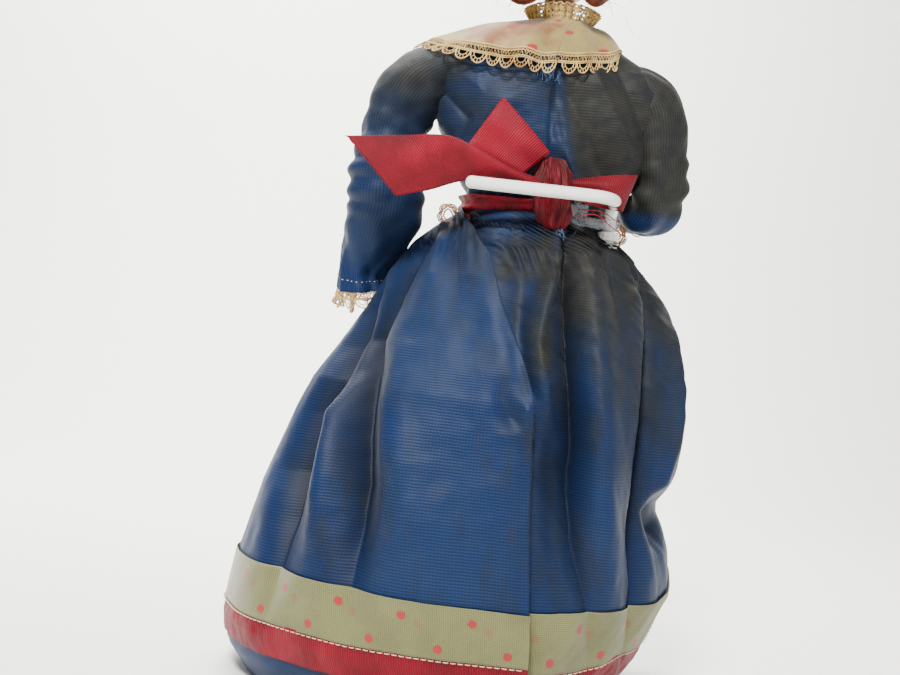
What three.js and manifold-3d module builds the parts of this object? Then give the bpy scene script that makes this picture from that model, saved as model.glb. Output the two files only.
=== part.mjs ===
// A small ventriloquist's lady figure in a long gathered dress, about 300 mm tall.
// Millimetres, +Z up, the figure faces -Y. The origin is on the floor, in the middle of the skirt's outline.
// A white lever behind the waist winds a thread round its post. The thread pulls a rod that opens the jaw.
import * as THREE from 'three';
import { mergeVertices } from 'three/addons/utils/BufferGeometryUtils.js';
import Module from 'manifold-3d';

const wasm = await Module();
wasm.setup();

// ---- driving dimensions ------------------------------------------------------------------------
const GAP = 0.3; // clearance between pieces that touch
const BODY_X = -15.3; // the body stands off the skirt's middle, because the skirt sways to its left
const SHOULDER = { x: 34, z: 200 }; // shoulder pin, out from the body's axis
const UPPER_ARM = 37;
const FOREARM = 35;
const HEAD_Z = 258; // middle of the head
const HEAD = new THREE.Vector3(21, 24, 30); // half sizes of the head
const JAW_PIVOT = { y: 9.5, z: -15.75 }; // from the middle of the head
const NECK_R = 5;
const ROD_R = 1;
const HIP_Z = 134;
const HIP_X = 11;
const LEVER_R = 2; // the lever's rod
const POST = new THREE.Vector3(-23.3, 14, 0); // the lever's upright, from the body's axis
const BAR = { y: 34, z: 161.5, freeX: 22 }; // the lever's grip
const DRUM_R = 3.457; // winding radius of the thread
const CLOTH = 1.5; // wall of a plain cloth solid

// Outlines of the clothed body and the skirt: [z, middle x, half width, half depth].
const TORSO = [[143, 0, 17.5, 12.5], [151, 0, 17, 12], [160, 0, 16.5, 12], [172, 0, 19, 12.5],
  [186, 0, 23.5, 13.5], [198, 0, 25, 13], [205, 0, 23.5, 11.5], [210, 0, 17, 9.5], [215, 0, 9.5, 9]];
const BODICE = [[152.5, 0, 20.5, 15.5], [160, 0, 21, 16], [172, 0, 25, 18], [186, 0, 28.6, 18.2],
  [197, 0, 28.6, 17], [205, 0, 27.4, 15], [210.5, 0, 20.5, 12.5], [215, 0, 13, 11]];
const SKIRT_SIDES = [[0, 63.4, -54.6], [9, 70.4, -58.6], [18, 71.9, -63.6], [38, 69.2, -71.1], [60, 64, -72.9],
  [85, 55.7, -73.1], [105, 46.2, -71.6], [120, 37.2, -67.6], [133, 31.2, -61.1], [144, 22.7, -50.6], [151, 13.7, -41.6]];
const SKIRT_DEPTH = 0.88; // the skirt's depth over its width
const SKIRT = SKIRT_SIDES.map(([z, left, right]) =>
  [z, (left + right) / 2, (left - right) / 2, (SKIRT_DEPTH * (left - right)) / 2]);

// ---- materials -----------------------------------------------------------------------------------
const finish = (color, roughness, metalness = 0) =>
  new THREE.MeshStandardMaterial({ color, roughness, metalness });
const M = {
  blueCloth: finish(0x3c5476, 0.5),
  dottedCloth: finish(0xb3a67a, 0.8),
  redRibbon: finish(0xa8242f, 0.5),
  lace: finish(0xe3cc93, 0.85),
  whitePlastic: finish(0xeceee4, 0.25),
  clearPlastic: finish(0xdfe6ea, 0.15),
  skin: finish(0xdb9f76, 0.45),
  wood: finish(0xb98a58, 0.7),
  hair: finish(0x6f3c22, 0.6),
  black: finish(0x1d1c1e, 0.35),
  steel: finish(0xa9abad, 0.35, 1),
  thread: finish(0xb04456, 0.8),
  eye: finish(0xf2f0ea, 0.1),
};

// ---- shape helpers -------------------------------------------------------------------------------
// A closed geometry as a manifold-3d solid.
function solidOf(geometry) {
  const bare = geometry.clone();
  bare.deleteAttribute('normal');
  bare.deleteAttribute('uv');
  const merged = mergeVertices(bare, 1e-4);
  return new wasm.Manifold(new wasm.Mesh({
    numProp: 3,
    vertProperties: merged.attributes.position.array,
    triVerts: new Uint32Array(merged.index.array),
  }));
}

// A manifold-3d solid as a geometry.
function geometryOf(solid) {
  const mesh = solid.getMesh();
  const geometry = new THREE.BufferGeometry();
  geometry.setAttribute('position', new THREE.BufferAttribute(new Float32Array(mesh.vertProperties), 3));
  geometry.setIndex(new THREE.BufferAttribute(new Uint32Array(mesh.triVerts), 1));
  return geometry;
}

const combine = (how, first, rest) =>
  geometryOf(rest.reduce((made, other) => made[how](solidOf(other)), solidOf(first)));
const cut = (first, ...rest) => combine('subtract', first, rest);
const join = (first, ...rest) => combine('add', first, rest);
const common = (first, ...rest) => combine('intersect', first, rest);

// A box between two corners.
function block(x0, y0, z0, x1, y1, z1) {
  const box = new THREE.BoxGeometry(x1 - x0, y1 - y0, z1 - z0);
  return box.translate((x0 + x1) / 2, (y0 + y1) / 2, (z0 + z1) / 2);
}

// An ellipsoid with half sizes (a, b, c) round a centre.
function ellipsoid(a, b, c, x = 0, y = 0, z = 0, around = 20, down = 14) {
  const ball = new THREE.SphereGeometry(1, around, down).rotateX(Math.PI / 2);
  return ball.scale(a, b, c).translate(x, y, z);
}

// A round rod from one point to another, r0 thick at the first and r1 at the second.
function rod(from, to, r0, r1 = r0, sides = 12) {
  const along = new THREE.Vector3().subVectors(to, from);
  const bar = new THREE.CylinderGeometry(r1, r0, along.length(), sides).translate(0, along.length() / 2, 0);
  const turn = new THREE.Quaternion().setFromUnitVectors(new THREE.Vector3(0, 1, 0), along.normalize());
  return bar.applyQuaternion(turn).translate(from.x, from.y, from.z);
}

const v = (x, y, z) => new THREE.Vector3(x, y, z);
const crossRod = (x0, x1, y, z, r, sides = 14) => rod(v(x0, y, z), v(x1, y, z), r, r, sides);
const uprightRod = (x, y, z0, z1, r, sides = 14) => rod(v(x, y, z0), v(x, y, z1), r, r, sides);

// A ring round Z between two radii.
function ring(inner, outer, z0, z1, sides = 24) {
  const profile = [[inner, z0], [outer, z0], [outer, z1], [inner, z1], [inner, z0]];
  const made = new THREE.LatheGeometry(profile.map(([r, z]) => new THREE.Vector2(r, z)), sides);
  return made.rotateX(Math.PI / 2);
}

// A round tube along a curve.
function tube(path, radius, sides, steps) {
  const corners = Array.from({ length: sides }, (_, i) => {
    const turn = (2 * Math.PI * i) / sides;
    return new THREE.Vector2(radius * Math.cos(turn), radius * Math.sin(turn));
  });
  return new THREE.ExtrudeGeometry(new THREE.Shape(corners), { steps, extrudePath: path });
}

// A lathed form pushed out to elliptical rings [z, middle x, half width, half depth].
// With a wall it is an open skin that thick, and without one it is solid.
function loft(rings, wall = 0, sides = 32) {
  const OUT = 1;
  const IN = 0.5;
  const outer = rings.map((_, i) => new THREE.Vector2(OUT, i));
  const last = rings.length - 1;
  const profile = wall
    ? [...outer, ...rings.map((_, i) => new THREE.Vector2(IN, last - i)), outer[0]]
    : [new THREE.Vector2(0, 0), ...outer, new THREE.Vector2(0, last)];
  const made = new THREE.LatheGeometry(profile, sides);
  const place = made.attributes.position;
  for (let k = 0; k < place.count; k += 1) {
    const radius = Math.hypot(place.getX(k), place.getZ(k));
    const [z, middle, halfWidth, halfDepth] = rings[Math.round(place.getY(k))];
    const inset = wall && radius < (IN + OUT) / 2 ? wall : 0;
    const share = radius < IN / 2 ? 0 : 1 / radius;
    place.setXYZ(k, middle + place.getX(k) * share * (halfWidth - inset),
      -place.getZ(k) * share * (halfDepth - inset), z);
  }
  return made;
}

// Rings grown outwards by so much.
const grown = (rings, by) => rings.map(([z, x, a, b]) => [z, x, a + by, b + by]);

// A ring of a table of rings at height z, between the two nearest of them.
function ringAt(rings, z) {
  const above = Math.max(1, rings.findIndex((r) => r[0] >= z));
  const [low, high] = [rings[above - 1], rings[above]];
  const t = (z - low[0]) / (high[0] - low[0]);
  return low.map((value, i) => value + t * (high[i] - value));
}

// A band of cloth from z0 to z1, lying outside the rings by 'off', 'wall' thick.
function bandOn(rings, z0, z1, off, wall, sides = 32) {
  const between = rings.filter(([z]) => z > z0 + 1 && z < z1 - 1);
  return loft(grown([ringAt(rings, z0), ...between, ringAt(rings, z1)], off + wall), wall, sides);
}

function mesh(name, geometry, material) {
  const made = new THREE.Mesh(geometry, material);
  made.name = name;
  return made;
}

const group = (...children) => new THREE.Group().add(...children);

// ---- torso and its mechanism ---------------------------------------------------------------------
// Two carved halves, hollowed down the middle for the pull rod and thread.
function torsoHalves() {
  const CAVITY = 5.5;
  const hollow = block(-CAVITY, -CAVITY, 150.4, CAVITY, CAVITY, 209.6);
  const neckHole = uprightRod(0, 0, 209.1, 220, 8 + GAP, 20);
  const pins = crossRod(-40, 40, 0, SHOULDER.z, 1.2 + GAP);
  const threadHole = rod(v(-25, 13.6, 151), v(-4, 1.5, 153), 1.3, 1.3, 8);
  const plug = loft(grown(TORSO.slice(0, 2), -2.5 + GAP), 0, 20).translate(0, 0, -0.5);
  const rivet = rod(v(-10, 4, 158), v(-10, 20, 158), 1 + GAP, 1 + GAP, 10);
  const body = cut(loft(TORSO, 0, 24), hollow, neckHole, pins, threadHole, plug, rivet);
  return [
    mesh('torso_front', common(body, block(-40, -40, 0, 40, -GAP / 2, 300)), M.wood),
    mesh('torso_back', common(body, block(-40, GAP / 2, 0, 40, 40, 300)), M.wood),
  ];
}

// Plug in the bottom of the torso, with a tongue between the legs that holds the hip pin.
function hips() {
  const plug = loft(grown(TORSO.slice(0, 2), -2.5), 0, 20).translate(0, 0, -0.8);
  const tongue = block(-5.4, -6, HIP_Z - 6, 5.4, 6, 143);
  const pinHole = crossRod(-20, 20, 0, HIP_Z, 1.2 + GAP);
  return [
    mesh('hip_block', cut(join(plug, tongue), pinHole), M.wood),
    mesh('hip_pin', crossRod(-17.6, 17.6, 0, HIP_Z, 1.2), M.steel),
  ];
}

// Steel pin with a head that keeps the arm on.
function shoulderPin(side) {
  const shank = crossRod(side * 9, side * (SHOULDER.x + 4.8), 0, SHOULDER.z, 1.2);
  const head = crossRod(side * (SHOULDER.x + 4.6), side * (SHOULDER.x + 5.6), 0, SHOULDER.z, 2.6);
  return join(shank, head);
}

// White rod: a grip across the back, a corner forward, and a post down to its bearing.
function mouthLever() {
  const BEND = 5;
  const POST_FOOT = 142;
  const end = v(BAR.freeX, BAR.y, BAR.z);
  const back = v(POST.x, BAR.y, BAR.z);
  const top = v(POST.x, POST.y, BAR.z);
  const foot = v(POST.x, POST.y, POST_FOOT);
  const path = new THREE.CurvePath();
  path.add(new THREE.LineCurve3(end, back.clone().setX(POST.x + BEND)));
  path.add(new THREE.QuadraticBezierCurve3(back.clone().setX(POST.x + BEND), back, back.clone().setY(BAR.y - BEND)));
  path.add(new THREE.LineCurve3(back.clone().setY(BAR.y - BEND), top.clone().setY(POST.y + BEND)));
  path.add(new THREE.QuadraticBezierCurve3(top.clone().setY(POST.y + BEND), top, top.clone().setZ(BAR.z - BEND)));
  path.add(new THREE.LineCurve3(top.clone().setZ(BAR.z - BEND), foot));
  const tip = ellipsoid(LEVER_R, LEVER_R, LEVER_R, end.x, end.y, end.z, 8, 6);
  return join(tube(path, LEVER_R, 8, 30), tip);
}

// The lever's clear guide, its bearing, its return spring and the collar that the thread winds on.
function leverFittings() {
  const postHole = uprightRod(POST.x, POST.y, 100, 170, LEVER_R + GAP);
  const foot = block(-15.5, 15, 153.2, -6.5, 19.4, 161);
  const web = block(-23, 15.2, 153.2, -14.5, 19.4, 156.2);
  const eye = uprightRod(POST.x, POST.y, 153.2, 156.2, LEVER_R + 1.5);
  const rivetHole = rod(v(-10, 0, 158), v(-10, 25, 158), 1 + GAP, 1 + GAP, 10);
  const guide = cut(join(foot, web, eye), postHole, rivetHole,
    loft(grown(BODICE, 1 + 2 * GAP), 0, 24));
  const rivet = join(rod(v(-10, 9, 158), v(-10, 19.8, 158), 1, 1, 10), rod(v(-10, 19.7, 158), v(-10, 20.5, 158), 2, 2, 12));
  const bearing = cut(join(block(-24, 4, 141, -14, 12, 145.5), uprightRod(POST.x, POST.y, 140.4, 145.5, 4.2)),
    uprightRod(POST.x, POST.y, 141.7, 170, LEVER_R + GAP), loft(grown(TORSO, GAP), 0, 24));
  const collar = cut(uprightRod(POST.x, POST.y, 150, 152.6, DRUM_R), postHole);
  return { guide, rivet, bearing, collar };
}

// Wire coil round the post that turns the lever back.
class Coil extends THREE.Curve {
  constructor(radius, z0, pitch, turns) {
    super();
    Object.assign(this, { radius, z0, pitch, turns });
  }

  getPoint(t, target = new THREE.Vector3()) {
    const angle = 2 * Math.PI * this.turns * t;
    return target.set(this.radius * Math.cos(angle), this.radius * Math.sin(angle), this.z0 + this.pitch * this.turns * t);
  }
}

function leverSpring() {
  return tube(new Coil(3.1, 146.4, 1.1, 2.5), 0.35, 4, 26).translate(POST.x, POST.y, 0);
}

// Thread from the collar, through the torso's back and round the guide, up to the pull rod.
function pullCord() {
  const route = [v(POST.x + 3.8, POST.y - 2.8, 151.4), v(-14.6, 7.6, 152), v(-5, 2.1, 152.9), v(-1.2, 0.2, 153.4),
    v(0, 0, 155.5), v(0, 0, 162), v(0, 0, 171.5)];
  return tube(new THREE.CatmullRomCurve3(route, false, 'centripetal'), 0.35, 5, 18);
}

// Staple across the hollow, that the thread turns round.
function cordGuide() {
  return block(-5.2, -5.2, 151.4, 5.2, -1.2, 155.8);
}

// ---- head ----------------------------------------------------------------------------------------
const headForm = (by = 0, around = 18, down = 12) =>
  ellipsoid(HEAD.x + by, HEAD.y + by, HEAD.z + by, 0, 0, 0, around, down);
const hairForm = (by = 0) => ellipsoid(23.2 + by, 26.6 + by, 32.4 + by, 0, 1.6, 2, 18, 10);
const SPLIT_Y = 12; // the hatch behind the head's hollow
const EYE = { x: 8.6, y: -19.4, z: 1, r: 3.2 };

// Carved head with a hollow for the jaw, closed by a hatch at the back.
function headShells() {
  const hollow = block(-8.5, -10, -21, 8.5, 40, 8);
  const jawSlot = block(-8, -40, -40, 8, -4, -14.5);
  const neck = uprightRod(0, 0, -60, -20, NECK_R + GAP, 16);
  const pin = crossRod(-30, 30, JAW_PIVOT.y, JAW_PIVOT.z, 1 + GAP, 10);
  const sockets = [-1, 1].map((s) => ellipsoid(3.5, 3.5, 3.5, s * EYE.x, EYE.y, EYE.z, 12, 8));
  const front = cut(common(headForm(), block(-40, -40, -40, 40, SPLIT_Y - GAP / 2, 40)),
    hollow, jawSlot, neck, pin, ...sockets);
  const back = common(headForm(), block(-40, SPLIT_Y + GAP / 2, -40, 40, 40, 40));
  return [mesh('head_front', front, M.skin), mesh('head_back', back, M.skin)];
}

// Lower lip and chin on a tongue plate that hangs on the jaw pin.
function jaw() {
  const chin = common(headForm(-0.2), block(-7.6, -40, -40, 7.6, -14, -14.8));
  const plate = block(-5, -15, -16.5, 5, JAW_PIVOT.y, -15);
  const hub = crossRod(-5, 5, JAW_PIVOT.y, JAW_PIVOT.z, 2.2);
  return cut(join(chin, plate, hub), crossRod(-9, 9, JAW_PIVOT.y, JAW_PIVOT.z, 1 + GAP, 10),
    uprightRod(0, 0, -18, -12, ROD_R + 0.9));
}

// Neck tube with a flange that keeps it in its bush.
function neckTube() {
  const stem = ring(ROD_R + 0.6, NECK_R, 209.5 - HEAD_Z, -22.2, 16);
  const flange = ring(NECK_R - 1, 7.6, 209.5 - HEAD_Z, 211.3 - HEAD_Z, 16);
  return join(stem, flange);
}

// Rod through the neck, with a flange above the jaw's plate.
function pullRod() {
  const eye = ring(0.8, 2, -0.6, 0.6, 10).rotateX(Math.PI / 2).translate(0, 0, 174 - HEAD_Z);
  const shank = uprightRod(0, 0, 175.4 - HEAD_Z, -12.4, ROD_R, 10);
  return join(shank, eye, uprightRod(0, 0, -13.7, -12.5, 2.6, 12));
}

function hairPieces() {
  const cap = cut(hairForm(), headForm(0.4), block(-40, -40, -40, 40, -3, 17), block(-40, -40, -40, 40, 40, -17));
  const bun = (x, halfWidth) => cut(ellipsoid(halfWidth, 7, 10.5, x, 18.5, -25.5, 14, 10), hairForm(GAP));
  const ribbon = common(cut(hairForm(1.8), hairForm(GAP)), block(-3.2, 5, -29, 3.2, 40, 16));
  const pin = join(rod(v(-17.8, 19, -27), v(-20.3, 20, -26.2), 0.35, 0.35, 6), ellipsoid(1.5, 1.5, 1.5, -21.3, 20.4, -25.9, 8, 6));
  return [
    mesh('hair_cap', cap, M.hair),
    mesh('hair_bun_left', bun(13, 8.6), M.hair),
    mesh('hair_bun_right', bun(-10.4, 6.6), M.hair),
    mesh('hair_lace', ribbon, M.lace),
    mesh('hair_pin', pin, M.black),
  ];
}

function head() {
  const eyes = [['eye_left', 1], ['eye_right', -1]].map(([name, s]) =>
    mesh(name, ellipsoid(EYE.r, EYE.r, EYE.r, s * EYE.x, EYE.y, EYE.z, 12, 8), M.eye));
  const made = group(
    ...headShells(),
    mesh('jaw', jaw(), M.skin),
    mesh('jaw_pin', crossRod(-14.8, 14.8, JAW_PIVOT.y, JAW_PIVOT.z, 1, 10), M.steel),
    mesh('neck_tube', neckTube(), M.wood),
    mesh('pull_rod', pullRod(), M.steel),
    ...eyes,
    ...hairPieces(),
  );
  made.position.z = HEAD_Z;
  return made;
}

// ---- arms ----------------------------------------------------------------------------------------
const ELBOW_R = 3.4;
const EAR = 3.4; // half width across the elbow's ears
const TONGUE = 1.3; // half thickness of the elbow's tongue

// Upper arm: a shoulder disc, a rod, and two ears round the elbow.
function upperArm(side, elbow) {
  const disc = crossRod(side * -4, side * 4, 0, 0, 5.2);
  const shaft = rod(v(0, 0, 0), elbow, 4, 3.5);
  const knuckle = crossRod(elbow.x - EAR, elbow.x + EAR, elbow.y, elbow.z, ELBOW_R);
  const yoke = ellipsoid(5, 4.2, 5, ...elbow.clone().setLength(UPPER_ARM - 5.5), 10, 6);
  const slot = crossRod(elbow.x - TONGUE - GAP, elbow.x + TONGUE + GAP, elbow.y, elbow.z, 4.6, 16);
  const pinHole = crossRod(elbow.x - 9, elbow.x + 9, elbow.y, elbow.z, 0.9 + GAP, 10);
  return cut(join(disc, shaft, knuckle, yoke), slot, pinHole, crossRod(side * -9, side * 9, 0, 0, 1.2 + GAP, 12),
    crossRod(side * (4 + GAP), side * 9, 0, 0, 2.6 + GAP, 12));
}

// Forearm with a half-closed hand, from the elbow at the origin to the fingertips.
function forearm(toWrist, palmOut) {
  const far = (mm) => toWrist.clone().multiplyScalar(mm);
  const across = palmOut.clone().cross(toWrist).normalize();
  const tongue = crossRod(-TONGUE, TONGUE, 0, 0, ELBOW_R - 0.2);
  const neck = common(rod(v(0, 0, 0), far(8), 2.6), block(-TONGUE, -60, -60, TONGUE, 60, 60));
  const arm = rod(far(6.2), far(FOREARM), 3.7, 2.7);
  const palm = ellipsoid(3.2, 1.9, 6, 0, 0, 0, 10, 8);
  const basis = new THREE.Matrix4().makeBasis(across, palmOut.clone().normalize(), toWrist);
  palm.applyMatrix4(basis).translate(...far(FOREARM + 4.5));
  const fingers = [-2.1, -0.7, 0.7, 2.1].map((offset, i) => {
    const root = far(FOREARM + 8).addScaledVector(across, offset);
    const tip = far(FOREARM + 17 - Math.abs(i - 1.4)).addScaledVector(across, offset * 1.1).addScaledVector(palmOut, 1.8);
    return rod(root, tip, 0.95, 0.8, 6);
  });
  const thumb = rod(far(FOREARM + 3).addScaledVector(across, -2), far(FOREARM + 10.5).addScaledVector(across, -4.4)
    .addScaledVector(palmOut, 1.2), 1.1, 0.9, 6);
  const pinHole = crossRod(-9, 9, 0, 0, 0.9 + GAP, 10);
  return cut(join(tongue, neck, arm, palm, ...fingers, thumb), pinHole);
}

// A plain puff of cloth round a straight piece of arm.
function puff(from, to, radius, armRadius, keep) {
  const along = to.clone().sub(from);
  const middle = from.clone().add(to).multiplyScalar(0.5);
  const turn = new THREE.Quaternion().setFromUnitVectors(v(0, 0, 1), along.clone().normalize());
  const form = ellipsoid(radius, radius, along.length() / 2, 0, 0, 0, 14, 8).applyQuaternion(turn);
  form.translate(middle.x, middle.y, middle.z);
  const outside = along.normalize().multiplyScalar(20);
  const made = cut(form, rod(from.clone().sub(outside), to.clone().add(outside), armRadius, armRadius, 14));
  return keep ? common(made, keep) : made;
}

// Ring of lace round the wrist.
function cuffLace(toWrist) {
  const turn = new THREE.Quaternion().setFromUnitVectors(v(0, 0, 1), toWrist);
  const made = ring(4.1, 5.6, FOREARM - 3.4, FOREARM + 1.2, 18);
  return made.applyQuaternion(turn);
}

// One arm, hung on its shoulder pin. 'side' is 1 for the figure's left.
function arm(name, side, toElbow, toWrist, palmOut) {
  const elbow = toElbow.clone().normalize().multiplyScalar(UPPER_ARM);
  const wristWay = toWrist.clone().normalize();
  const at = (mm) => wristWay.clone().multiplyScalar(mm);
  const up = (mm) => elbow.clone().normalize().multiplyScalar(mm);
  const clearOfBody = side > 0 ? block(-4.3, -60, -60, 60, 60, 60) : block(-60, -60, -60, 4.3, 60, 60);
  const upper = cut(puff(up(-9), up(29), 12.4, 6.2, clearOfBody), crossRod(side * -30, side * 6.2, 0, 0, 5.6, 16));
  const lower = group(
    mesh(`forearm_${name}`, forearm(wristWay, palmOut.clone().normalize()), M.skin),
    mesh(`sleeve_lower_${name}`, puff(at(5.5), at(33.2), 9, 4.1), M.blueCloth),
    mesh(`cuff_lace_${name}`, cuffLace(wristWay), M.lace),
    mesh(`elbow_pin_${name}`, crossRod(-4.2, 4.2, 0, 0, 0.9, 10), M.steel),
  );
  lower.position.copy(elbow);
  const made = group(
    mesh(`upper_arm_${name}`, upperArm(side, elbow), M.wood),
    mesh(`sleeve_upper_${name}`, upper, M.blueCloth),
    lower,
  );
  made.position.set(side * SHOULDER.x, 0, SHOULDER.z);
  return made;
}

// ---- legs ----------------------------------------------------------------------------------------
// Leg with its foot, and a low shoe round the foot, hung on the hip pin.
function leg(name, side) {
  const ANKLE = 14 - HIP_Z;
  const SOLE = 2 - HIP_Z;
  const profile = [[0, ANKLE - 5], [3.6, ANKLE - 5], [3.2, ANKLE + 4], [4.9, ANKLE + 30], [4.4, ANKLE + 50], [6, ANKLE + 85],
    [6, -14], [4.4, -5.5], [0, -5.5]];
  const limb = new THREE.LatheGeometry(profile.map(([r, z]) => new THREE.Vector2(r, z)), 10).rotateX(Math.PI / 2);
  const knuckle = crossRod(-4.6, 4.6, 0, 0, 6.4, 16);
  const foot = ellipsoid(4.2, 10.5, 4.6, 0, -5.5, SOLE + 5.6, 12, 8);
  const pinHole = crossRod(-9, 9, 0, 0, 1.2 + GAP);
  const shoeForm = common(ellipsoid(5.8, 12.6, 7.5, 0, -5.6, SOLE + 5.4, 14, 10), block(-9, -30, SOLE, 9, 20, SOLE + 7.6));
  const shoe = cut(join(shoeForm, block(-3.4, 0.6, SOLE, 3.4, 6.2, SOLE + 3)), ellipsoid(4.5, 10.8, 4.9, 0, -5.5, SOLE + 5.6, 12, 8),
    uprightRod(0, 0, ANKLE - 5.4, ANKLE + 30, 4));
  const made = group(
    mesh(`leg_${name}`, cut(join(limb, knuckle, foot), pinHole), M.skin),
    mesh(`shoe_${name}`, shoe, M.black),
  );
  made.position.set(side * HIP_X, 0, HIP_Z);
  return made;
}

// ---- clothes -------------------------------------------------------------------------------------
function bodice() {
  const armholes = crossRod(-40, 40, 0, SHOULDER.z, 8.6, 16);
  const rivetHole = rod(v(-10, 5, 158), v(-10, 25, 158), 1 + GAP, 1 + GAP, 10);
  const threadHole = rod(v(-25, 13.6, 151), v(-4, 1.5, 153), 1.3, 1.3, 8);
  return cut(loft(BODICE, CLOTH, 20), armholes, rivetHole, threadHole);
}

// Round collar of dotted cloth with a lace edge, and a gathered lace frill at the neck.
function collarPieces() {
  const slope = [[206.8, 0, 28.9, 20.2], [211.5, 0, 23, 16.4], [216.5, 0, 13.6, 12.4]];
  const edge = [[202.6, 0, 29.4, 20.9], [206.5, 0, 29, 20.2]];
  return [
    mesh('collar', cut(loft(slope, 1.2, 24), loft(grown(BODICE, GAP), 0, 24)), M.dottedCloth),
    mesh('collar_lace', cut(loft(edge, 1.2, 24), loft(grown(BODICE, GAP), 0, 24)), M.lace),
    mesh('neck_ruffle', ring(6.8, 10, 217.2, 223, 20), M.lace),
  ];
}

// Ribbon sash with a bow behind: a knot, a loop that stands up, a side loop and a long tail.
function sashPieces() {
  const band = bandOn(BODICE, 153.2, 159.2, GAP, 1, 24);
  const rivetHole = rod(v(-10, 5, 158), v(-10, 25, 158), 1 + GAP, 1 + GAP, 10);
  const knot = cut(ellipsoid(4.6, 4, 6, -1.5, 22.6, 158.5, 14, 10), loft(grown(BODICE, 1 + 2 * GAP), 0, 24));
  const loopUp = block(-9, -1.8, 0, 9, 1.8, 26).rotateY(0.62).translate(5, 25.4, 163);
  const clearOfKnot = ellipsoid(4.6 + GAP, 4 + GAP, 6 + GAP, -1.5, 22.6, 158.5, 14, 10);
  const loopSide = ellipsoid(10, 4.2, 6.2, -16.5, 24.6, 168.6, 14, 10);
  const tail = block(8, 25.6, 156.5, 60, 27.4, 171.5);
  const room = loft(grown(BODICE, 1 + 2 * GAP), 0, 24);
  return [
    mesh('sash', cut(band, rivetHole), M.redRibbon),
    mesh('bow_knot', knot, M.redRibbon),
    mesh('bow_loop_upper', cut(loopUp, clearOfKnot, room, block(7.7, 20, 150, 70, 32, 172), loopSide), M.redRibbon),
    mesh('bow_loop_side', cut(loopSide, clearOfKnot, room), M.redRibbon),
    mesh('bow_tail', tail, M.redRibbon),
  ];
}

// Full skirt with a dotted band and a ribbon near the hem, and an apron of the dotted cloth in front.
function skirtPieces() {
  const HEM_BAND = [22, 38];
  const RIBBON = [11, 21.6];
  const post = uprightRod(POST.x + BODY_X, POST.y, 130, 170, 4.4, 12);
  const APRON_Z = [58, 148];
  const apronSkin = bandOn(SKIRT, APRON_Z[0], APRON_Z[1], GAP, 1.2, 28);
  const front = (z0, z1) => block(-40, -80, z0, 22, -12, z1);
  return [
    mesh('skirt', cut(loft(SKIRT, CLOTH, 28), post), M.blueCloth),
    mesh('skirt_band', bandOn(SKIRT, HEM_BAND[0], HEM_BAND[1], GAP, 0.9, 28), M.dottedCloth),
    mesh('skirt_ribbon', bandOn(SKIRT, RIBBON[0], RIBBON[1], GAP, 0.9, 28), M.redRibbon),
    mesh('apron', common(apronSkin, front(APRON_Z[0] + 5.3, APRON_Z[1])), M.dottedCloth),
    mesh('apron_lace', common(apronSkin, front(APRON_Z[0], APRON_Z[0] + 5)), M.lace),
  ];
}

// ---- assembly ------------------------------------------------------------------------------------
const fittings = leverFittings();
const body = group(
  ...torsoHalves(),
  ...hips(),
  mesh('neck_bush', ring(NECK_R + GAP, 8, 212, 216.4, 20), M.wood),
  mesh('shoulder_pin_left', shoulderPin(1), M.steel),
  mesh('shoulder_pin_right', shoulderPin(-1), M.steel),
  mesh('mouth_lever', mouthLever(), M.whitePlastic),
  mesh('cord_drum', fittings.collar, M.whitePlastic),
  mesh('lever_guide', fittings.guide, M.clearPlastic),
  mesh('guide_rivet', fittings.rivet, M.steel),
  mesh('lever_bearing', fittings.bearing, M.clearPlastic),
  mesh('lever_spring', leverSpring(), M.steel),
  mesh('cord_guide', cordGuide(), M.steel),
  mesh('pull_cord', pullCord(), M.thread),
  mesh('bodice', bodice(), M.blueCloth),
  ...collarPieces(),
  ...sashPieces(),
  head(),
  arm('left', 1, v(0.47, 0, -0.883), v(0.17, -0.26, -0.95), v(-1, -0.2, -0.1)),
  arm('right', -1, v(-0.139, 0, -0.99), v(0.1, -0.985, 0.09), v(1, 0.1, 0)),
  leg('left', 1),
  leg('right', -1),
);
body.position.x = BODY_X;

export default group(body, ...skirtPieces());
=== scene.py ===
# Looks of a small ventriloquist's lady figure in a blue taffeta dress, standing on a pale sweep.
# Lengths are in millimetres from the figure's own axis on the floor until they are put into a mesh.
import math
from math import pi

import bpy
import numpy as np
from mathutils import Matrix, Vector
from numpy import clip, cos, linspace, sin, where


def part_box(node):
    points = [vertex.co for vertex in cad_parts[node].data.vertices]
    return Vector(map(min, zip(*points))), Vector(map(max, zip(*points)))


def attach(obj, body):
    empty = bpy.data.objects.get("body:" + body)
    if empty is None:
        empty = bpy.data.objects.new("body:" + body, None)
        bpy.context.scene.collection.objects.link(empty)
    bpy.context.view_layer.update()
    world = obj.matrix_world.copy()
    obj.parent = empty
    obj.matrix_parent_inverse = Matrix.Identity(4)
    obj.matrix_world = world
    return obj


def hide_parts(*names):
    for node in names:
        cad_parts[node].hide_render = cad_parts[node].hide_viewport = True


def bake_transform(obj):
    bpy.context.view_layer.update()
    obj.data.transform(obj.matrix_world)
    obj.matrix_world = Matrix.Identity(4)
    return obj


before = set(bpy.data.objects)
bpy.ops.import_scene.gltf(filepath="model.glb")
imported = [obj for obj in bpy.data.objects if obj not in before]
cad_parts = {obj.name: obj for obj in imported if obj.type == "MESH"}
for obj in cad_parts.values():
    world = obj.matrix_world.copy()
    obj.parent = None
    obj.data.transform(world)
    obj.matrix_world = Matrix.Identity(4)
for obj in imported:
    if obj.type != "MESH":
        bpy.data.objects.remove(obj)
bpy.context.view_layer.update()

MM = 0.001
TAU = 2 * pi
AXIS_X = sum(corner.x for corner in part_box("neck_tube")) / 2 / MM


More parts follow.
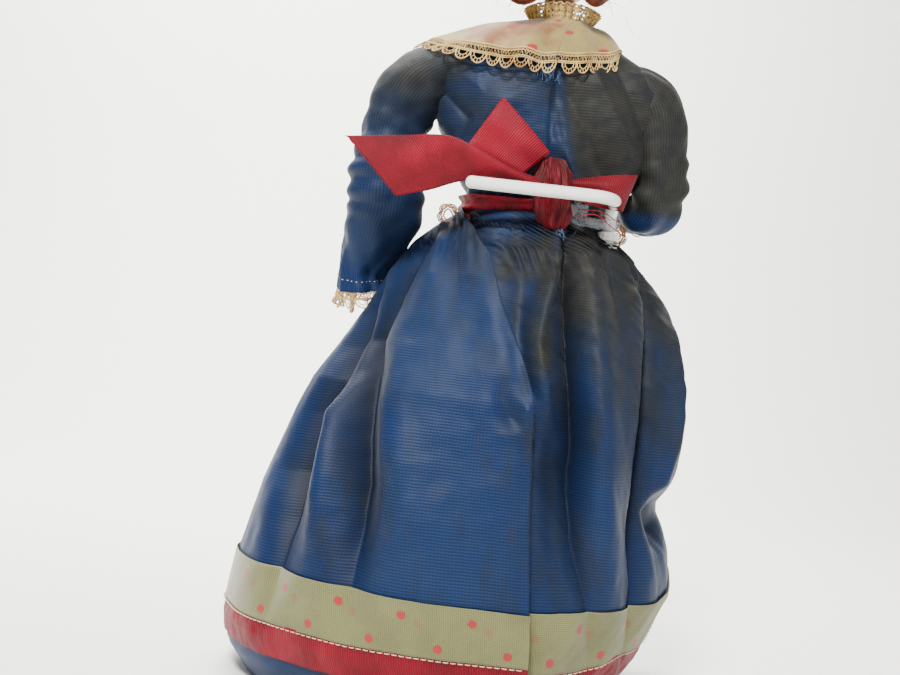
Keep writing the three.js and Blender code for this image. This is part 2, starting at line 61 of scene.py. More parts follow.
# ---- small numerical helpers ----
def table(rows, at):
    """Values of each column of a table after its first, read where the first column is `at`."""
    rows = np.array(sorted(rows), float)
    return [np.interp(at, rows[:, 0], column) for column in rows.T[1:]]


def spans(down, across):
    """Evenly spaced values down and across a grid, each given as first, last and count."""
    return linspace(*down)[:, None], linspace(*across)[None, :]


def together(*values):
    """Points from their coordinates."""
    return np.stack(np.broadcast_arrays(*values), axis=-1)


def bump(s, width, sharp=2.0):
    return np.exp(-np.abs(s / width) ** sharp)


def smooth(lo, hi, x):
    t = clip((x - lo) / (hi - lo), 0, 1)
    return t * t * (3 - 2 * t)


def ripple(u, v, seed, size):
    """Smooth noise of about one unit, with waves about `size` long."""
    rng = np.random.default_rng(seed)
    total = 0
    for octave in range(3):
        for _ in range(5):
            angle, phase = rng.uniform(0, TAU, 2)
            rate = TAU / size * 1.9**octave * rng.uniform(0.7, 1.3)
            total = total + sin(rate * (u * cos(angle) + v * sin(angle)) + phase) * 0.55**octave
    return total / 3.5


def unit(v):
    return v / np.maximum(np.linalg.norm(v, axis=-1, keepdims=True), 1e-9)


def lengths(points, axis=0):
    """Length run from the first point to each one, along an axis of an array of points."""
    step = np.linalg.norm(np.diff(points, axis=axis), axis=-1)
    zero = np.zeros_like(np.take(step, [0], axis=axis))
    return np.concatenate([zero, np.cumsum(step, axis=axis)], axis=axis)


def spline(points, n):
    """n points evenly along a Catmull-Rom curve through the given ones."""
    p = np.array(points, float)
    p = np.vstack([2 * p[0] - p[1], p, 2 * p[-1] - p[-2]])
    t = linspace(0, 1, 24, endpoint=False)[:, None]
    fine = []
    for a, b, c, d in zip(p, p[1:], p[2:], p[3:]):
        bend = (2 * a - 5 * b + 4 * c - d) * t**2 + (3 * b - a - 3 * c + d) * t**3
        fine.append(0.5 * (2 * b + (c - a) * t + bend))
    fine = np.vstack([*fine, p[-2:-1]])
    along = lengths(fine)
    at = linspace(0, along[-1], n)
    return together(*(np.interp(at, along, column) for column in fine.T))


def spot(x, y, z):
    """A place given in figure millimetres, in metres from the frame's origin."""
    return Vector((x + AXIS_X, y, z)) * MM


# ---- meshes ----
def make(name, points, faces, material, body="torso", uv=None, **marks):
    """A mesh piece from points in figure millimetres. marks are per-point numbers its material reads."""
    data = bpy.data.meshes.new(name)
    world = (points.reshape(-1, 3) + [AXIS_X, 0, 0]) * MM
    data.vertices.add(len(world))
    data.vertices.foreach_set("co", world.astype(np.float32).ravel())
    data.loops.add(faces.size)
    data.loops.foreach_set("vertex_index", faces.ravel().astype(np.int32))
    data.polygons.add(len(faces))
    data.polygons.foreach_set("loop_start", np.arange(len(faces), dtype=np.int32) * faces.shape[1])
    data.update(calc_edges=True)
    data.validate()
    if uv is not None:
        layer = data.uv_layers.new(name="cut")
        layer.data.foreach_set("uv", uv.astype(np.float32).reshape(-1, 2)[faces.ravel()].ravel())
    for mark, values in marks.items():
        layer = data.attributes.new(mark, "FLOAT", "POINT")
        layer.data.foreach_set("value", np.broadcast_to(values, points.shape[:-1]).astype(np.float32).ravel())
    data.polygons.foreach_set("use_smooth", np.full(len(faces), True))
    data.materials.append(material)
    obj = bpy.data.objects.new(name, data)
    bpy.context.scene.collection.objects.link(obj)
    if body:
        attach(obj, body)
    return obj


def quads(n, m, wrap_n=False, wrap_m=False):
    """Faces of an n by m grid of points."""
    i = np.arange(n if wrap_n else n - 1)[:, None]
    j = np.arange(m if wrap_m else m - 1)[None, :]
    below, beside = (i + 1) % n * m, (j + 1) % m
    return together(i * m + j, i * m + beside, below + beside, below + j).reshape(-1, 4)


def thicken(piece, mm):
    solid = piece.modifiers.new("thickness", "SOLIDIFY")
    solid.thickness, solid.offset = mm * MM, -1.0


def cloth(name, node, slot, points, material, thickness=0.3, flip=False, **options):
    """A sheet over a grid of points, with the cut's own millimetres as its map, in place of a kept node."""
    uv = together(lengths(points, 0).mean(1)[:, None], lengths(points, 1).mean(0)[None, :])
    faces = quads(*points.shape[:2])
    piece = make(name, points, faces[:, ::-1] if flip else faces, material, uv=uv, **options)
    thicken(piece, thickness)
    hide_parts(node)
    return piece


def tubes(name, lines, radius, material, sides=5, body="torso"):
    """Round threads along several lines of points, all in one mesh."""
    angle = np.arange(sides) * TAU / sides
    points, faces, start = [], [], 0
    for k, line in enumerate(lines):
        n = len(line)
        way = unit(np.gradient(line, axis=0))
        side = unit(np.cross(way, where(np.abs(way[:, 2:3]) > 0.9, [[1.0, 0, 0]], [[0, 0, 1.0]])))
        up = np.cross(side, way)
        r = np.broadcast_to(radius[k] if hasattr(radius, "__len__") else radius, n)
        ring = side[:, None] * cos(angle)[None, :, None] + up[:, None] * sin(angle)[None, :, None]
        points.append((line[:, None] + ring * r[:, None, None]).reshape(-1, 3))
        cap = start + np.arange(4) * (sides - 1) // 3
        faces += [quads(n, sides, wrap_m=True) + start, np.array([cap[::-1], cap + (n - 1) * sides])]
        start += n * sides
    return make(name, np.vstack(points), np.vstack(faces), material, body)


# ---- materials ----
class Value:
    """A value in a shader, which takes ordinary arithmetic."""

    def __init__(self, shader, socket):
        self.shader, self.socket = shader, socket

    def __add__(self, other):
        return self.shader.math("ADD", self, other)

    def __sub__(self, other):
        return self.shader.math("SUBTRACT", self, other)

    def __rsub__(self, other):
        return self.shader.math("SUBTRACT", other, self)

    def __mul__(self, other):
        return self.shader.math("MULTIPLY", self, other)


class Nodes:
    """A small writer of shader nodes."""

    def __init__(self, name):
        self.material = bpy.data.materials.new(name)
        self.material.use_nodes = True
        self.tree = self.material.node_tree
        self.tree.nodes.clear()

    def add(self, kind, values=(), out=0, **settings):
        """A node with its first inputs filled, as the value of one of its outputs."""
        node = self.tree.nodes.new(kind)
        for key, setting in settings.items():
            setattr(node, key, setting)
        for place, value in values.items() if isinstance(values, dict) else enumerate(values):
            if isinstance(value, Value):
                self.tree.links.new(value.socket, node.inputs[place])
            elif value is not None:
                node.inputs[place].default_value = value
        return Value(self, node.outputs[out]) if node.outputs else None

    def math(self, how, *values):
        return self.add("ShaderNodeMath", values, operation=how)

    def most(self, *values):
        """The larger of two values, held between 0 and 1."""
        return self.add("ShaderNodeMath", values, operation="MAXIMUM", use_clamp=True)

    def mark(self, name):
        return self.add("ShaderNodeAttribute", out="Fac", attribute_name=name)

    def uv(self):
        cut = self.add("ShaderNodeUVMap", uv_map="cut")
        return [self.add("ShaderNodeSeparateXYZ", [cut], out=axis) for axis in (0, 1)]

    def noise(self, scale, detail=4.0, rough=0.55, stretch=None):
        place = self.add("ShaderNodeTexCoord", out="Object")
        if stretch:
            place = self.add("ShaderNodeMapping", {"Vector": place, "Scale": stretch})
        inputs = {"Vector": place, "Scale": scale, "Detail": detail, "Roughness": rough}
        return self.add("ShaderNodeTexNoise", inputs)

    def spread(self, value, lo, hi):
        """0 to 1 as the value goes from lo to hi."""
        return self.add("ShaderNodeMapRange", (value, lo, hi, 0.0, 1.0), interpolation_type="SMOOTHSTEP")

    def mix(self, share, a, b):
        return self.add("ShaderNodeMix", {0: share, 6: a, 7: b}, out=2, data_type="RGBA")

    def wave(self, along, pitch):
        """0 to 1 sine across `along`, one wave every pitch."""
        return self.math("SINE", along * (TAU / pitch)) * 0.5 + 0.5

    def bump(self, height, strength, distance, before=None):
        inputs = {"Strength": strength, "Distance": distance * MM, "Height": height, "Normal": before}
        return self.add("ShaderNodeBump", inputs)

    def surface(self, color, roughness, normal, alpha=None, **more):
        inputs = {"Base Color": color, "Roughness": roughness, "Normal": normal, "Alpha": alpha}
        inputs.update({key.replace("_", " "): value for key, value in more.items()})
        shader = self.add("ShaderNodeBsdfPrincipled", inputs)
        self.add("ShaderNodeOutputMaterial", [shader])
        return self.material


def rgb(r, g, b):
    """A colour given as it looks on a screen, in 0 to 255."""
    shares = [c / 255 for c in (r, g, b)]
    return *(((c + 0.055) / 1.055) ** 2.4 if c > 10 / 255 else c / 12.92 for c in shares), 1.0


def taffeta():
    """Ribbed blue taffeta with a soft sheen, spotted by age. Marks: stain, 0 to 1, and fold, 0 to 1, which
    darkens the cloth in the hollows of its folds as painted shade.
    """
    n = Nodes("taffeta")
    u, v = n.uv()
    rib = n.wave(v + n.noise(260, detail=2.0) * 0.5, 0.92)
    pick = n.wave(u + n.wave(v, 1.84) * 0.45, 0.9)
    weave = rib * (pick * 0.5 + 0.5)
    cloud = n.noise(38, detail=5.0)
    fine = n.noise(210, detail=3.0)
    stain = n.spread((cloud - 0.5) * 0.5 + n.mark("stain"), 0.1, 0.95) * 0.94
    tide_mark = stain * (1.0 - stain) * 1.5
    blue = n.mix(n.spread(cloud, 0.35, 0.7), rgb(18, 42, 84), rgb(28, 50, 88))
    olive = n.mix(n.spread(fine, 0.3, 0.7), rgb(38, 38, 28), rgb(54, 50, 36))
    color = n.mix(stain, blue, olive)
    color = n.mix(tide_mark, color, rgb(26, 38, 52))
    # Painted shade: the fold mark darkens the cloth towards near-black blue in the hollows of the folds.
    color = n.mix(n.mark("fold") * 0.8, color, rgb(5, 9, 18))
    color = n.mix(weave * -0.6 + 0.6, color, rgb(5, 9, 20))
    normal = n.bump(fine, 0.1, 0.2, n.bump(weave, 0.45, 0.1))
    return n.surface(color, stain * 0.1 + 0.5, normal, Sheen_Weight=0.03, Sheen_Roughness=0.4,
                     Specular_IOR_Level=0.13)


def ribbon_red():
    """Ribbed red ribbon. Marks: stain 0 to 1 browns it."""
    n = Nodes("ribbon_red")
    u, v = n.uv()
    weave = n.wave(u + n.noise(300) * 0.25, 0.72) * (n.wave(v, 0.5) * 0.35 + 0.65)
    cloud = n.noise(60)
    red = n.mix(n.spread(cloud, 0.3, 0.7), rgb(148, 0, 34), rgb(120, 0, 28))
    color = n.mix((cloud - 0.5) * 0.8 + n.mark("stain"), red, rgb(66, 14, 12))
    color = n.mix(weave * -0.65 + 0.65, color, rgb(60, 1, 8))
    return n.surface(color, 0.5, n.bump(weave, 0.8, 0.16), Sheen_Weight=0.03, Specular_IOR_Level=0.16)


DOT_PITCH, DOT_ROW = 20.5, 19.0


def dots(n, shift_u, shift_v, radius):
    """Round dots in rows over a cloth, with ragged edges."""
    x, y = [(n.math("FRACT", (way + shift) * (1 / pitch)) - 0.5) * pitch
            for way, shift, pitch in zip(n.uv(), (shift_u, shift_v), (DOT_PITCH, DOT_ROW))]
    far = n.math("SQRT", x * x + y * y) + (n.noise(900, detail=2.0) - 0.5) * 0.7
    return n.spread(far, radius + 0.15, radius - 0.15)


def organdy(name, show, tone):
    """Sheer starched organdy with red dots, toned by age. Marks: rust 0 to 1."""
    n = Nodes(name)
    u, v = n.uv()
    thread = n.most(n.wave(u + n.noise(200) * 0.8, 0.62), n.wave(v + n.noise(160) * 0.9, 0.55))
    dot = n.most(dots(n, 4.0, 6.0, 1.35), dots(n, 14.2, -3.2, 1.35))
    dot = n.most(dot, dots(n, 19.0, -1.0, 1.3) * 0.28)
    cloud = n.noise(80, detail=5.0)
    cream = n.mix(n.spread(cloud, 0.35, 0.7), rgb(*tone), rgb(*(0.88 * c for c in tone)))
    rust = n.spread((n.noise(150, detail=5.0) - 0.5) * 1.5 + n.mark("rust"), 0.3, 0.8)
    color = n.mix(rust * 0.85, cream, rgb(122, 56, 10))
    color = n.mix(dot, color, rgb(150, 14, 18))
    color = n.mix(thread * -0.3 + 0.3, color, rgb(70, 60, 34))
    alpha = n.most(thread * 0.4 + show, dot * 0.95)
    return n.surface(color, 0.75, n.bump(thread, 0.4, 0.1), alpha, Sheen_Weight=0.3)


def cotton_lace(name, tone=(202, 172, 104), holes=False):
    """Twisted cotton, browned in patches, or a net of it with open holes."""
    n = Nodes(name)
    u, v = n.uv()
    brown = rgb(tone[0] - 42, tone[1] - 62, tone[2] - 74)
    color = n.mix(n.spread(n.noise(140, detail=5.0), 0.4, 0.72), rgb(*tone), brown)
    color = n.mix(n.wave(u + v, 0.5) * -0.25 + 0.25, color, rgb(120, 92, 50))
    alpha = None
    if holes:
        net = n.spread(n.most(n.wave(u + v, 1.5), n.wave(u - v, 1.5)), 0.62, 0.74)
        alpha = n.most(net, n.spread(n.wave(v, 2.4), 0.75, 0.85))
    return n.surface(color, 0.85, n.bump(n.noise(1500, detail=2.0), 0.5, 0.15), alpha, Sheen_Weight=0.25)


def plain(name, color, roughness, grain, depth, vary, **inputs):
    """A finish with a slight unevenness in colour, roughness and relief."""
    n = Nodes(name)
    cloud = n.noise(grain, detail=5.0)
    dark = tuple(c * (1 - 2 * vary) for c in color[:3]) + (1.0,)
    shade = n.mix(n.spread(cloud, 0.3, 0.75), color, dark)
    return n.surface(shade, n.noise(300) * 0.16 + (roughness - 0.08), n.bump(cloud, 0.35, depth), **inputs)


def hair_fibre():
    n = Nodes("hair_fibre")
    streak = n.noise(700, detail=3.0)
    color = n.mix(n.spread(streak, 0.3, 0.7), rgb(62, 22, 8), rgb(104, 44, 20))
    return n.surface(color, 0.5, n.bump(streak, 0.6, 0.2), Specular_IOR_Level=0.3, Anisotropic=0.4)


def carved_wood():
    n = Nodes("carved_wood")
    grain = n.noise(420, detail=6.0, rough=0.65, stretch=(1.0, 1.0, 0.12))
    color = n.mix(n.spread(grain, 0.35, 0.65), rgb(176, 128, 76), rgb(132, 88, 46))
    return n.surface(color, 0.6, n.bump(grain, 0.4, 0.15))


def skin_paint():
    """Satin flesh paint. Marks: blush, lips and brow colour the face where they are set."""
    n = Nodes("skin_paint")
    color = n.mix(n.spread(n.noise(120, detail=5.0), 0.35, 0.7), rgb(206, 136, 98), rgb(194, 122, 84))
    color = n.mix(n.mark("blush") * 0.6, color, rgb(206, 96, 78))
    color = n.mix(n.mark("lips"), color, rgb(136, 14, 22))
    color = n.mix(n.mark("brow"), color, rgb(84, 46, 28))
    brush = n.bump(n.noise(500, detail=3.0), 0.25, 0.08)
    return n.surface(color, 0.42, brush, Specular_IOR_Level=0.5, Coat_Weight=0.15)


def eye_glass():
    """Glossy painted eye. Marks: iris and pupil."""
    n = Nodes("eye_glass")
    color = n.mix(n.mark("iris"), rgb(226, 220, 208), rgb(48, 78, 104))
    color = n.mix(n.mark("iris") * n.spread(n.noise(900), 0.4, 0.7), color, rgb(26, 46, 70))
    color = n.mix(n.mark("pupil"), color, rgb(12, 12, 14))
    return n.surface(color, 0.12, n.bump(n.noise(200), 0.05, 0.02), Coat_Weight=1.0, Coat_Roughness=0.05)


TAFFETA = taffeta()
RIBBON = ribbon_red()
ORGANDY = organdy("organdy", 0.62, (112, 112, 66))
COLLAR_CLOTH = organdy("collar_cloth", 0.75, (150, 130, 68))
LACE = cotton_lace("lace")
LACE_NET = cotton_lace("lace_net", holes=True)
# A darker, browner copy of the lace for the scraps at the waist: painted shade.
LACE_SHADED = cotton_lace("shaded_lace", tone=(150, 96, 52))
SKIN = skin_paint()
EYE = eye_glass()
WOOD = carved_wood()
HAIR = hair_fibre()
WHITE = plain("white_coating", rgb(238, 238, 232), 0.22, 160, 0.05, 0.02, Coat_Weight=0.5, Coat_Roughness=0.12)
CLEAR = plain("clear_strip", rgb(190, 200, 208), 0.08, 200, 0.02, 0.02, Alpha=0.22, Coat_Weight=0.3)
STEEL = plain("steel_wire", rgb(150, 152, 154), 0.35, 400, 0.03, 0.1, Metallic=1.0)
BLACK = plain("black_gloss", rgb(30, 29, 31), 0.25, 200, 0.04, 0.1, Coat_Weight=0.4)
LEATHER = plain("black_leather", rgb(34, 31, 31), 0.38, 800, 0.12, 0.15)
THREAD_RED = plain("red_thread", rgb(176, 52, 70), 0.8, 2500, 0.1, 0.25)
THREAD_PALE = plain("pale_thread", rgb(226, 196, 168), 0.8, 2500, 0.1, 0.15)
THREAD_BLUE = plain("blue_thread", rgb(70, 98, 128), 0.8, 2500, 0.1, 0.25)
THREAD_DARK = plain("dark_thread", rgb(22, 26, 38), 0.8, 2500, 0.1, 0.25)

# ---- skirt ----
# Height, then how far the skirt reaches to the figure's left and right of its axis.
SKIRT_SIDES = [(0, 78.7, -39.3), (9, 85.7, -43.3), (18, 87.2, -48.3), (38, 84.7, -55.8), (60, 79.6, -56.6),
               (85, 71.4, -56.4), (96, 67, -56.2), (105, 61.6, -55.3), (120, 53, -51.5), (133, 46.8, -45),
               (144, 38.8, -35.5), (151, 31, -27), (155, 25.6, -22.6), (157, 22.6, -20.8)]
# Where the free edge of the back opening runs: height, x.
FREE_EDGE = [(157, 23), (154, 22), (147, 18.5), (140.5, 14.1), (126, 9.2), (111.6, 2.4), (97.4, -2.9),
             (80, -4), (61, -5), (35, -7.5), (0, -9.5)]
# Folds seen at the back: sharpness, then rows of height, x, rise, reach to the left, reach to the right.
FOLDS = [
    (1.3, [(157, 24, 0, 3, 4), (149, 30, -1.5, 3, 5), (141, 37, -3, 4, 6), (125, 45.5, -5, 5, 7),
           (110, 52, -6.5, 5, 8), (96, 51.5, -7, 5, 9), (82, 49.8, -7, 5, 9), (68, 46.5, -6.4, 5, 9),
           (54, 45.4, -4.8, 5, 8), (40, 45, -2.6, 5, 7), (22, 45, 0, 5, 7)]),
    (2, [(112, 38, 0, 7, 8), (93, 41, 3, 6, 9), (76, 38, 4.2, 6, 10), (60, 36, 3.8, 6, 11),
         (40, 35, 1.4, 6, 11), (20, 35, 0, 6, 11)]),
    (1.3, [(135, 46, 0, 4, 5), (118, 53.5, -4, 4, 6), (107, 58.5, -6, 4, 7), (85, 66.5, -7.5, 4, 8),
           (66, 70.4, -7.5, 4, 8), (50, 70, -5.4, 4, 7), (34, 69, -2.2, 4, 6), (20, 69, 0, 3, 6)]),
    (2, [(100, 54, 0, 5, 5), (87, 58, 3.6, 5, 5), (76, 57, 4, 5, 6), (62, 58, 3, 5, 6), (44, 58, 0.6, 5, 6),
         (30, 58, 0, 5, 6)]),
    (1.6, [(156, 24, 0, 2, 2), (149, 25, -1.8, 2.2, 2.2), (141, 26, -1.8, 2.6, 2.6), (132, 24, -0.8, 3, 3),
           (122, 23, 0, 3, 3)]),
    (2, [(156, 30, 0, 3, 3), (146, 31, 1.2, 3, 3), (132, 32, 1.2, 5, 5), (115, 32, 0, 6, 6)]),
    (1.8, [(156, 4, 0, 4, 4), (146, 6, -1.6, 5, 5), (135, 5, -2.6, 5, 5), (122, 3.5, -2.4, 4, 4),
           (108, 1, -0.8, 3, 3), (96, 0, 0, 3, 3)]),
    (2, [(156, -7, 1, 2, 2), (147, -7.2, 2.2, 2.6, 2.2), (136, -6.2, 3.4, 3.2, 2.4), (126, -3.6, 4, 3.4, 2.8),
         (116, -2.4, 4, 3.6, 3.2), (106, -4.5, 3.2, 3.6, 3.4), (97, -8, 1.6, 4, 4), (86, -11, 0, 4, 4)]),
    (1, [(157, -8.6, 0, 2, 1.2), (150, -9.2, -3, 2.2, 1.2), (138, -9.9, -4.6, 2.4, 1.6),
         (127, -10.8, -5.6, 2.6, 1.8), (108, -14.2, -6.4, 4, 2), (96, -17, -6.6, 5, 2), (85, -18.9, -6, 6, 2),
         (72, -19.2, -4.8, 6, 2), (57, -21.2, -3.6, 6, 2.2), (40, -26.6, -2.6, 5, 2.4), (24, -28, -1, 5, 3),
         (10, -28, 0, 5, 3)]),
    (2, [(104, -8, 0, 4, 5), (92, -10, -1.8, 5, 6), (78, -12, -2.6, 5, 7), (60, -13, -1.8, 5, 7),
         (44, -15, -0.6, 5, 7), (30, -15, 0, 5, 7)]),
    (2, [(156, -14, 0, 4, 4), (146, -15, 1.8, 4, 5), (131, -17.5, 3.4, 5, 6), (105, -21, 4, 5, 7),
         (82, -24, 3.8, 4.5, 8), (62, -27, 3, 5, 8), (44, -31, 1.4, 5, 8), (24, -31, 0, 5, 8)]),
    (1, [(157, -17, 0, 1.2, 1.2), (152, -19.5, -1.3, 1.4, 1.4), (142, -22.5, -1.5, 1.8, 1.8),
         (130, -25.5, -0.8, 2.4, 2.4), (118, -27, 0, 3, 3)]),
    (1, [(157, -20, 0, 1.2, 1.2), (151, -25, -1.3, 1.4, 1.4), (144, -31, -1.5, 1.8, 1.8),
         (136, -36, -1.2, 2.2, 2.2), (126, -38, 0, 3, 3)]),
    (1, [(148, -33, 0, 2, 2), (138, -38, -2.6, 2.6, 2.2), (128, -40.4, -4.4, 3, 2.6), (113, -41.6, -6, 3.4, 3),
         (93, -42.6, -7.2, 4, 3), (73, -42.6, -7.2, 4, 3), (62, -42.2, -5.8, 4, 3), (46, -43, -3.6, 4, 3),
         (26, -41, -1, 4, 3), (12, -40, 0, 4, 3)]),
    (2, [(140, -42, 0, 3, 4), (128, -47, 1.6, 3, 4), (105, -50, 3.2, 3, 5), (88, -50, 3, 3, 5),
         (75, -49, 1.2, 3, 5), (66, -50, -5, 5, 8), (58, -52, -3.4, 5, 8), (50, -53, 0.8, 5, 6),
         (38, -54, 1.4, 5, 6), (20, -50, 0, 5, 6)]),
    (2, [(104, 6, 0, 2.4, 2.4), (98, 6, -0.9, 2.4, 2.6), (92, 3.4, -1.5, 3, 3), (87, 2, 0, 3, 3)]),
    (2, [(99, -1, 0, 2, 2.6), (94.5, -1, 1.3, 2, 2.6), (90, -1.4, 0.6, 2.4, 3), (86, -2, -0.6, 3, 3),
         (80, -2, 0, 3, 3)]),
]
WAIST = 156.0
FOLDS_REACH = 2.3
LAPPED_ROUND = TAU + math.radians(15)


def outline(z):
    """Middle, half width and depth of the skirt at a height."""
    left, right = table(SKIRT_SIDES, z)
    half = (left - right) / 2
    return (left + right) / 2, half, 0.88 * half


def turn_of(x, z):
    """Angle round the skirt, from straight back towards the figure's left, of a point x on its back."""
    middle, half, _ = outline(z)
    return np.arcsin(clip((x - middle) / half, -1, 1))


def hem_lift(turn):
    """The hem is hitched up at the figure's right side."""
    turn = turn % TAU
    return 19 * bump(turn - math.radians(264), math.radians(17)) + 1.2 * bump(turn - math.radians(205), 0.35)


def fold_forms(back, h, radius):
    """Rise of the cloth over its placed folds, and how deep in one each point lies, from 0 to 1, which the
    taffeta darkens by as painted shade.
    """
    rise, sunk = np.zeros_like(h), np.zeros_like(h)
    for sharp, rows in FOLDS:
        x, high, left, right = table(rows, h)
        s = (back - turn_of(x, h)) * radius
        form = high * bump(s, where(s > 0, left, right) * where(high < 0, 1.3, 1), sharp)
        form = where(np.abs(back) < FOLDS_REACH, form, 0)
        rise += where(high < 0, 1.5, 1.25) * form
        sunk += clip(-form, 0, None)
    return rise, clip(sunk / 6.5 - clip(rise, 0, None) / 6, 0, 1)


def folded_skirt(turn, h, off):
    """Points of the skirt at an angle round it and a height up the cloth, `off` outside it, and how deep each
    lies in a fold, which the taffeta darkens by as painted shade."""
    turn, h = np.broadcast_arrays(np.asarray(turn, float), np.asarray(h, float))
    z = h + hem_lift(turn) * clip(1 - h / 130, 0, 1) ** 1.6
    middle, half, depth = outline(z)
    back = (turn + pi) % TAU - pi
    radius = np.hypot(half * cos(turn), depth * sin(turn))
    round_way = turn * radius
    rise, fold_shade = fold_forms(back, h, radius)
    drop = clip((WAIST - h) / WAIST, 0, 1)
    pleat = sin(13 * turn + 1.4 * sin(2 * turn) + 0.9 * drop)
    pleat = pleat + 0.45 * sin(23 * turn + 1.3 + 0.8 * sin(3 * turn) - 1.4 * drop)
    deep = 0.5 + 3.0 * smooth(0.0, 0.45, drop) - 1.3 * smooth(0.6, 1.0, drop)
    rise = rise + smooth(1.35, 1.9, np.abs(back)) * pleat * deep
    rise = rise + sin(round_way * 1.75 + 2 * sin(turn * 9)) * 0.75 * smooth(132, 150, h)
    rise = rise + 0.4 * ripple(round_way, h, 4, 38) + 0.06 * ripple(round_way, h, 5, 9)
    rise = rise * (1 - 0.6 * smooth(151, 156, h))
    rise = rise - 0.75 * bump(np.abs(back) - pi / 2, 0.4) * clip(rise, 0, None)
    rise = rise - 6.5 * bump(h - 62, 11) * bump(back + 1.45, 0.42) + off
    nx, ny = sin(turn) / half, cos(turn) / depth
    rise = rise / np.hypot(nx, ny)
    return together(middle + half * sin(turn) + rise * nx, depth * cos(turn) + rise * ny, z), fold_shade


def skirt_strip(share, h, off=0.0):
    """The same by the share of the way round the cloth, from the free edge at 0 to the lapped one at 1."""
    share, h = np.broadcast_arrays(np.asarray(share, float), np.asarray(h, float))
    half = outline(h)[1]
    near, far = share * LAPPED_ROUND * half, (1 - share) * LAPPED_ROUND * half
    lap = half * (LAPPED_ROUND - TAU)
    lift = 1.7 * bump(near, 9.0) + 0.5 * bump(near, 1.6) - 1.9 * smooth(lap + 6, lap - 4, far)
    return folded_skirt(turn_of(table(FREE_EDGE, h)[0], h) + share * LAPPED_ROUND, h, off + lift)


def stain_of(points):
    """How far the brown tide has spread over the cloth at the back."""
    x, y, z = points[..., 0], points[..., 1], points[..., 2]
    tides = [0.9 * smooth(-3, -10, x) * smooth(84, 140, z), 0.78 * bump(x + 3.5, 5) * smooth(92, 112, z),
             0.55 * smooth(-14, -22, x) * smooth(50, 110, z), 0.3 * bump(x - 5, 5) * smooth(60, 110, z),
             0.75 * smooth(16, 9, x) * smooth(127, 136, z) * smooth(152, 144, z),
             0.46 * bump(x - 20, 11) * smooth(112, 142, z), 0.2 + 0.1 * ripple(x, z, 93, 60)]
    tide = np.maximum.reduce(tides)
    return (tide + 0.12 * ripple(x * 3, z * 0.5, 91, 16) * (tide > 0.02)) * smooth(-5, 12, y)


def band_drop(share):
    """The trimmings sit lower on the lapped side of the opening."""
    return 1.2 * sin(share * 9) - 3.4 * smooth(0.86, 0.93, share)


def build_skirt():
    shares = linspace(0, 1, 820)[:, None]
    shares = shares - 0.22 / TAU * sin(TAU * shares)
    heights = np.concatenate([linspace(0.4, 6, 12), linspace(7, WAIST, 190)])[None, :]
    points, fold_shade = skirt_strip(shares, heights)
    stain = stain_of(points)
    # The fold mark carries the painted shade of the folds' hollows into the taffeta.
    piece = cloth("skirt_cloth", "skirt", "blue_taffeta", points, TAFFETA, stain=stain, fold=fold_shade)
    band_h = 21 + linspace(0, 16, 26)[None, :] * (1 + 0.17 * smooth(0.86, 0.93, shares)) + band_drop(shares)
    points = skirt_strip(shares, band_h, 0.9)[0]
    band = cloth("skirt_band_organdy", "skirt_band", "dotted_organdy", points, ORGANDY, 0.12, rust=0.1)
    ribbon_h = 11 + linspace(0, 10.4, 20)[None, :] + band_drop(shares)
    off = 0.65 + 0.25 * ripple(shares * 420, ribbon_h, 8, 14)
    points = skirt_strip(shares, ribbon_h, off)[0]
    ribbon = cloth("skirt_ribbon_red", "skirt_ribbon", "red_ribbon", points, RIBBON, 0.2, stain=0.12)
    runs = [linspace(share, share + 0.0034, 4) for share in np.arange(0.004, 0.995, 0.0047)]
    stitches = [skirt_strip(run, 20.6 + band_drop(run), [0.95, 1.25, 1.25, 0.95])[0] for run in runs]
    tubes("hem_stitches", stitches, 0.16, THREAD_PALE, sides=4)


# ---- bodice ----
# Height, reach to the left and right of the axis, depth behind and in front.
BODICE = [(150, 22.5, -21.5, 16.5, 15.5), (156, 22.5, -21.5, 16.8, 16), (162, 24, -24, 17.5, 17),
          (172, 29.5, -31, 19, 19), (182, 35, -36.5, 20, 20.5), (191, 38.5, -39.5, 20, 20.5),
          (199, 38.5, -39.5, 19, 19), (205, 35.5, -35.5, 16.5, 15), (210, 29, -28, 13, 11.5),
          (214, 20, -21, 10.5, 9), (217, 12, -13.5, 9, 8)]
# Where the back fastening runs: height, x.
PLACKET = [(217, 2.4), (203, 1.7), (190, -1.2), (180, -4), (170, -6.8), (160, -7.4), (150, -7.4)]
# Creases over the back: both ends as x and height, rise, reach to one side and to the other.
BODICE_CREASES = [
    ((40, 196), (26, 184), -2.4, 3, 2), ((26, 184), (30, 172), -1.6, 2, 3), ((36, 202), (20, 192), 1.2, 4, 4),
    ((30, 178), (14, 163), 1.2, 3, 3), ((24, 200), (18, 170), 0.9, 5, 5), ((-4, 196), (-20, 170), -2, 3, 5),
    ((-12, 204), (-31, 172), 2.2, 4, 5), ((-20, 206), (-36, 180), -2.2, 3, 4),
    ((-2, 180), (-16, 162), 1.8, 3, 3), ((-10, 172), (-22, 160), -1, 2.5, 3),
    ((8, 172), (12, 158), -0.9, 2, 2.5), ((14, 172), (17, 158), -0.7, 2, 2.5),
]


def crease(x, z, start, end, depth, left, right):
    """A straight crease, fading at both ends."""
    way, far = unit(np.subtract(end, start)), math.dist(start, end)
    dx, dz = x - start[0], z - start[1]
    across, along = dx * way[1] - dz * way[0], dx * way[0] + dz * way[1]
    ends = smooth(-3, 3, along) * smooth(far + 3, far - 3, along)
    return depth * bump(across, where(across > 0, left, right), 1.2) * ends


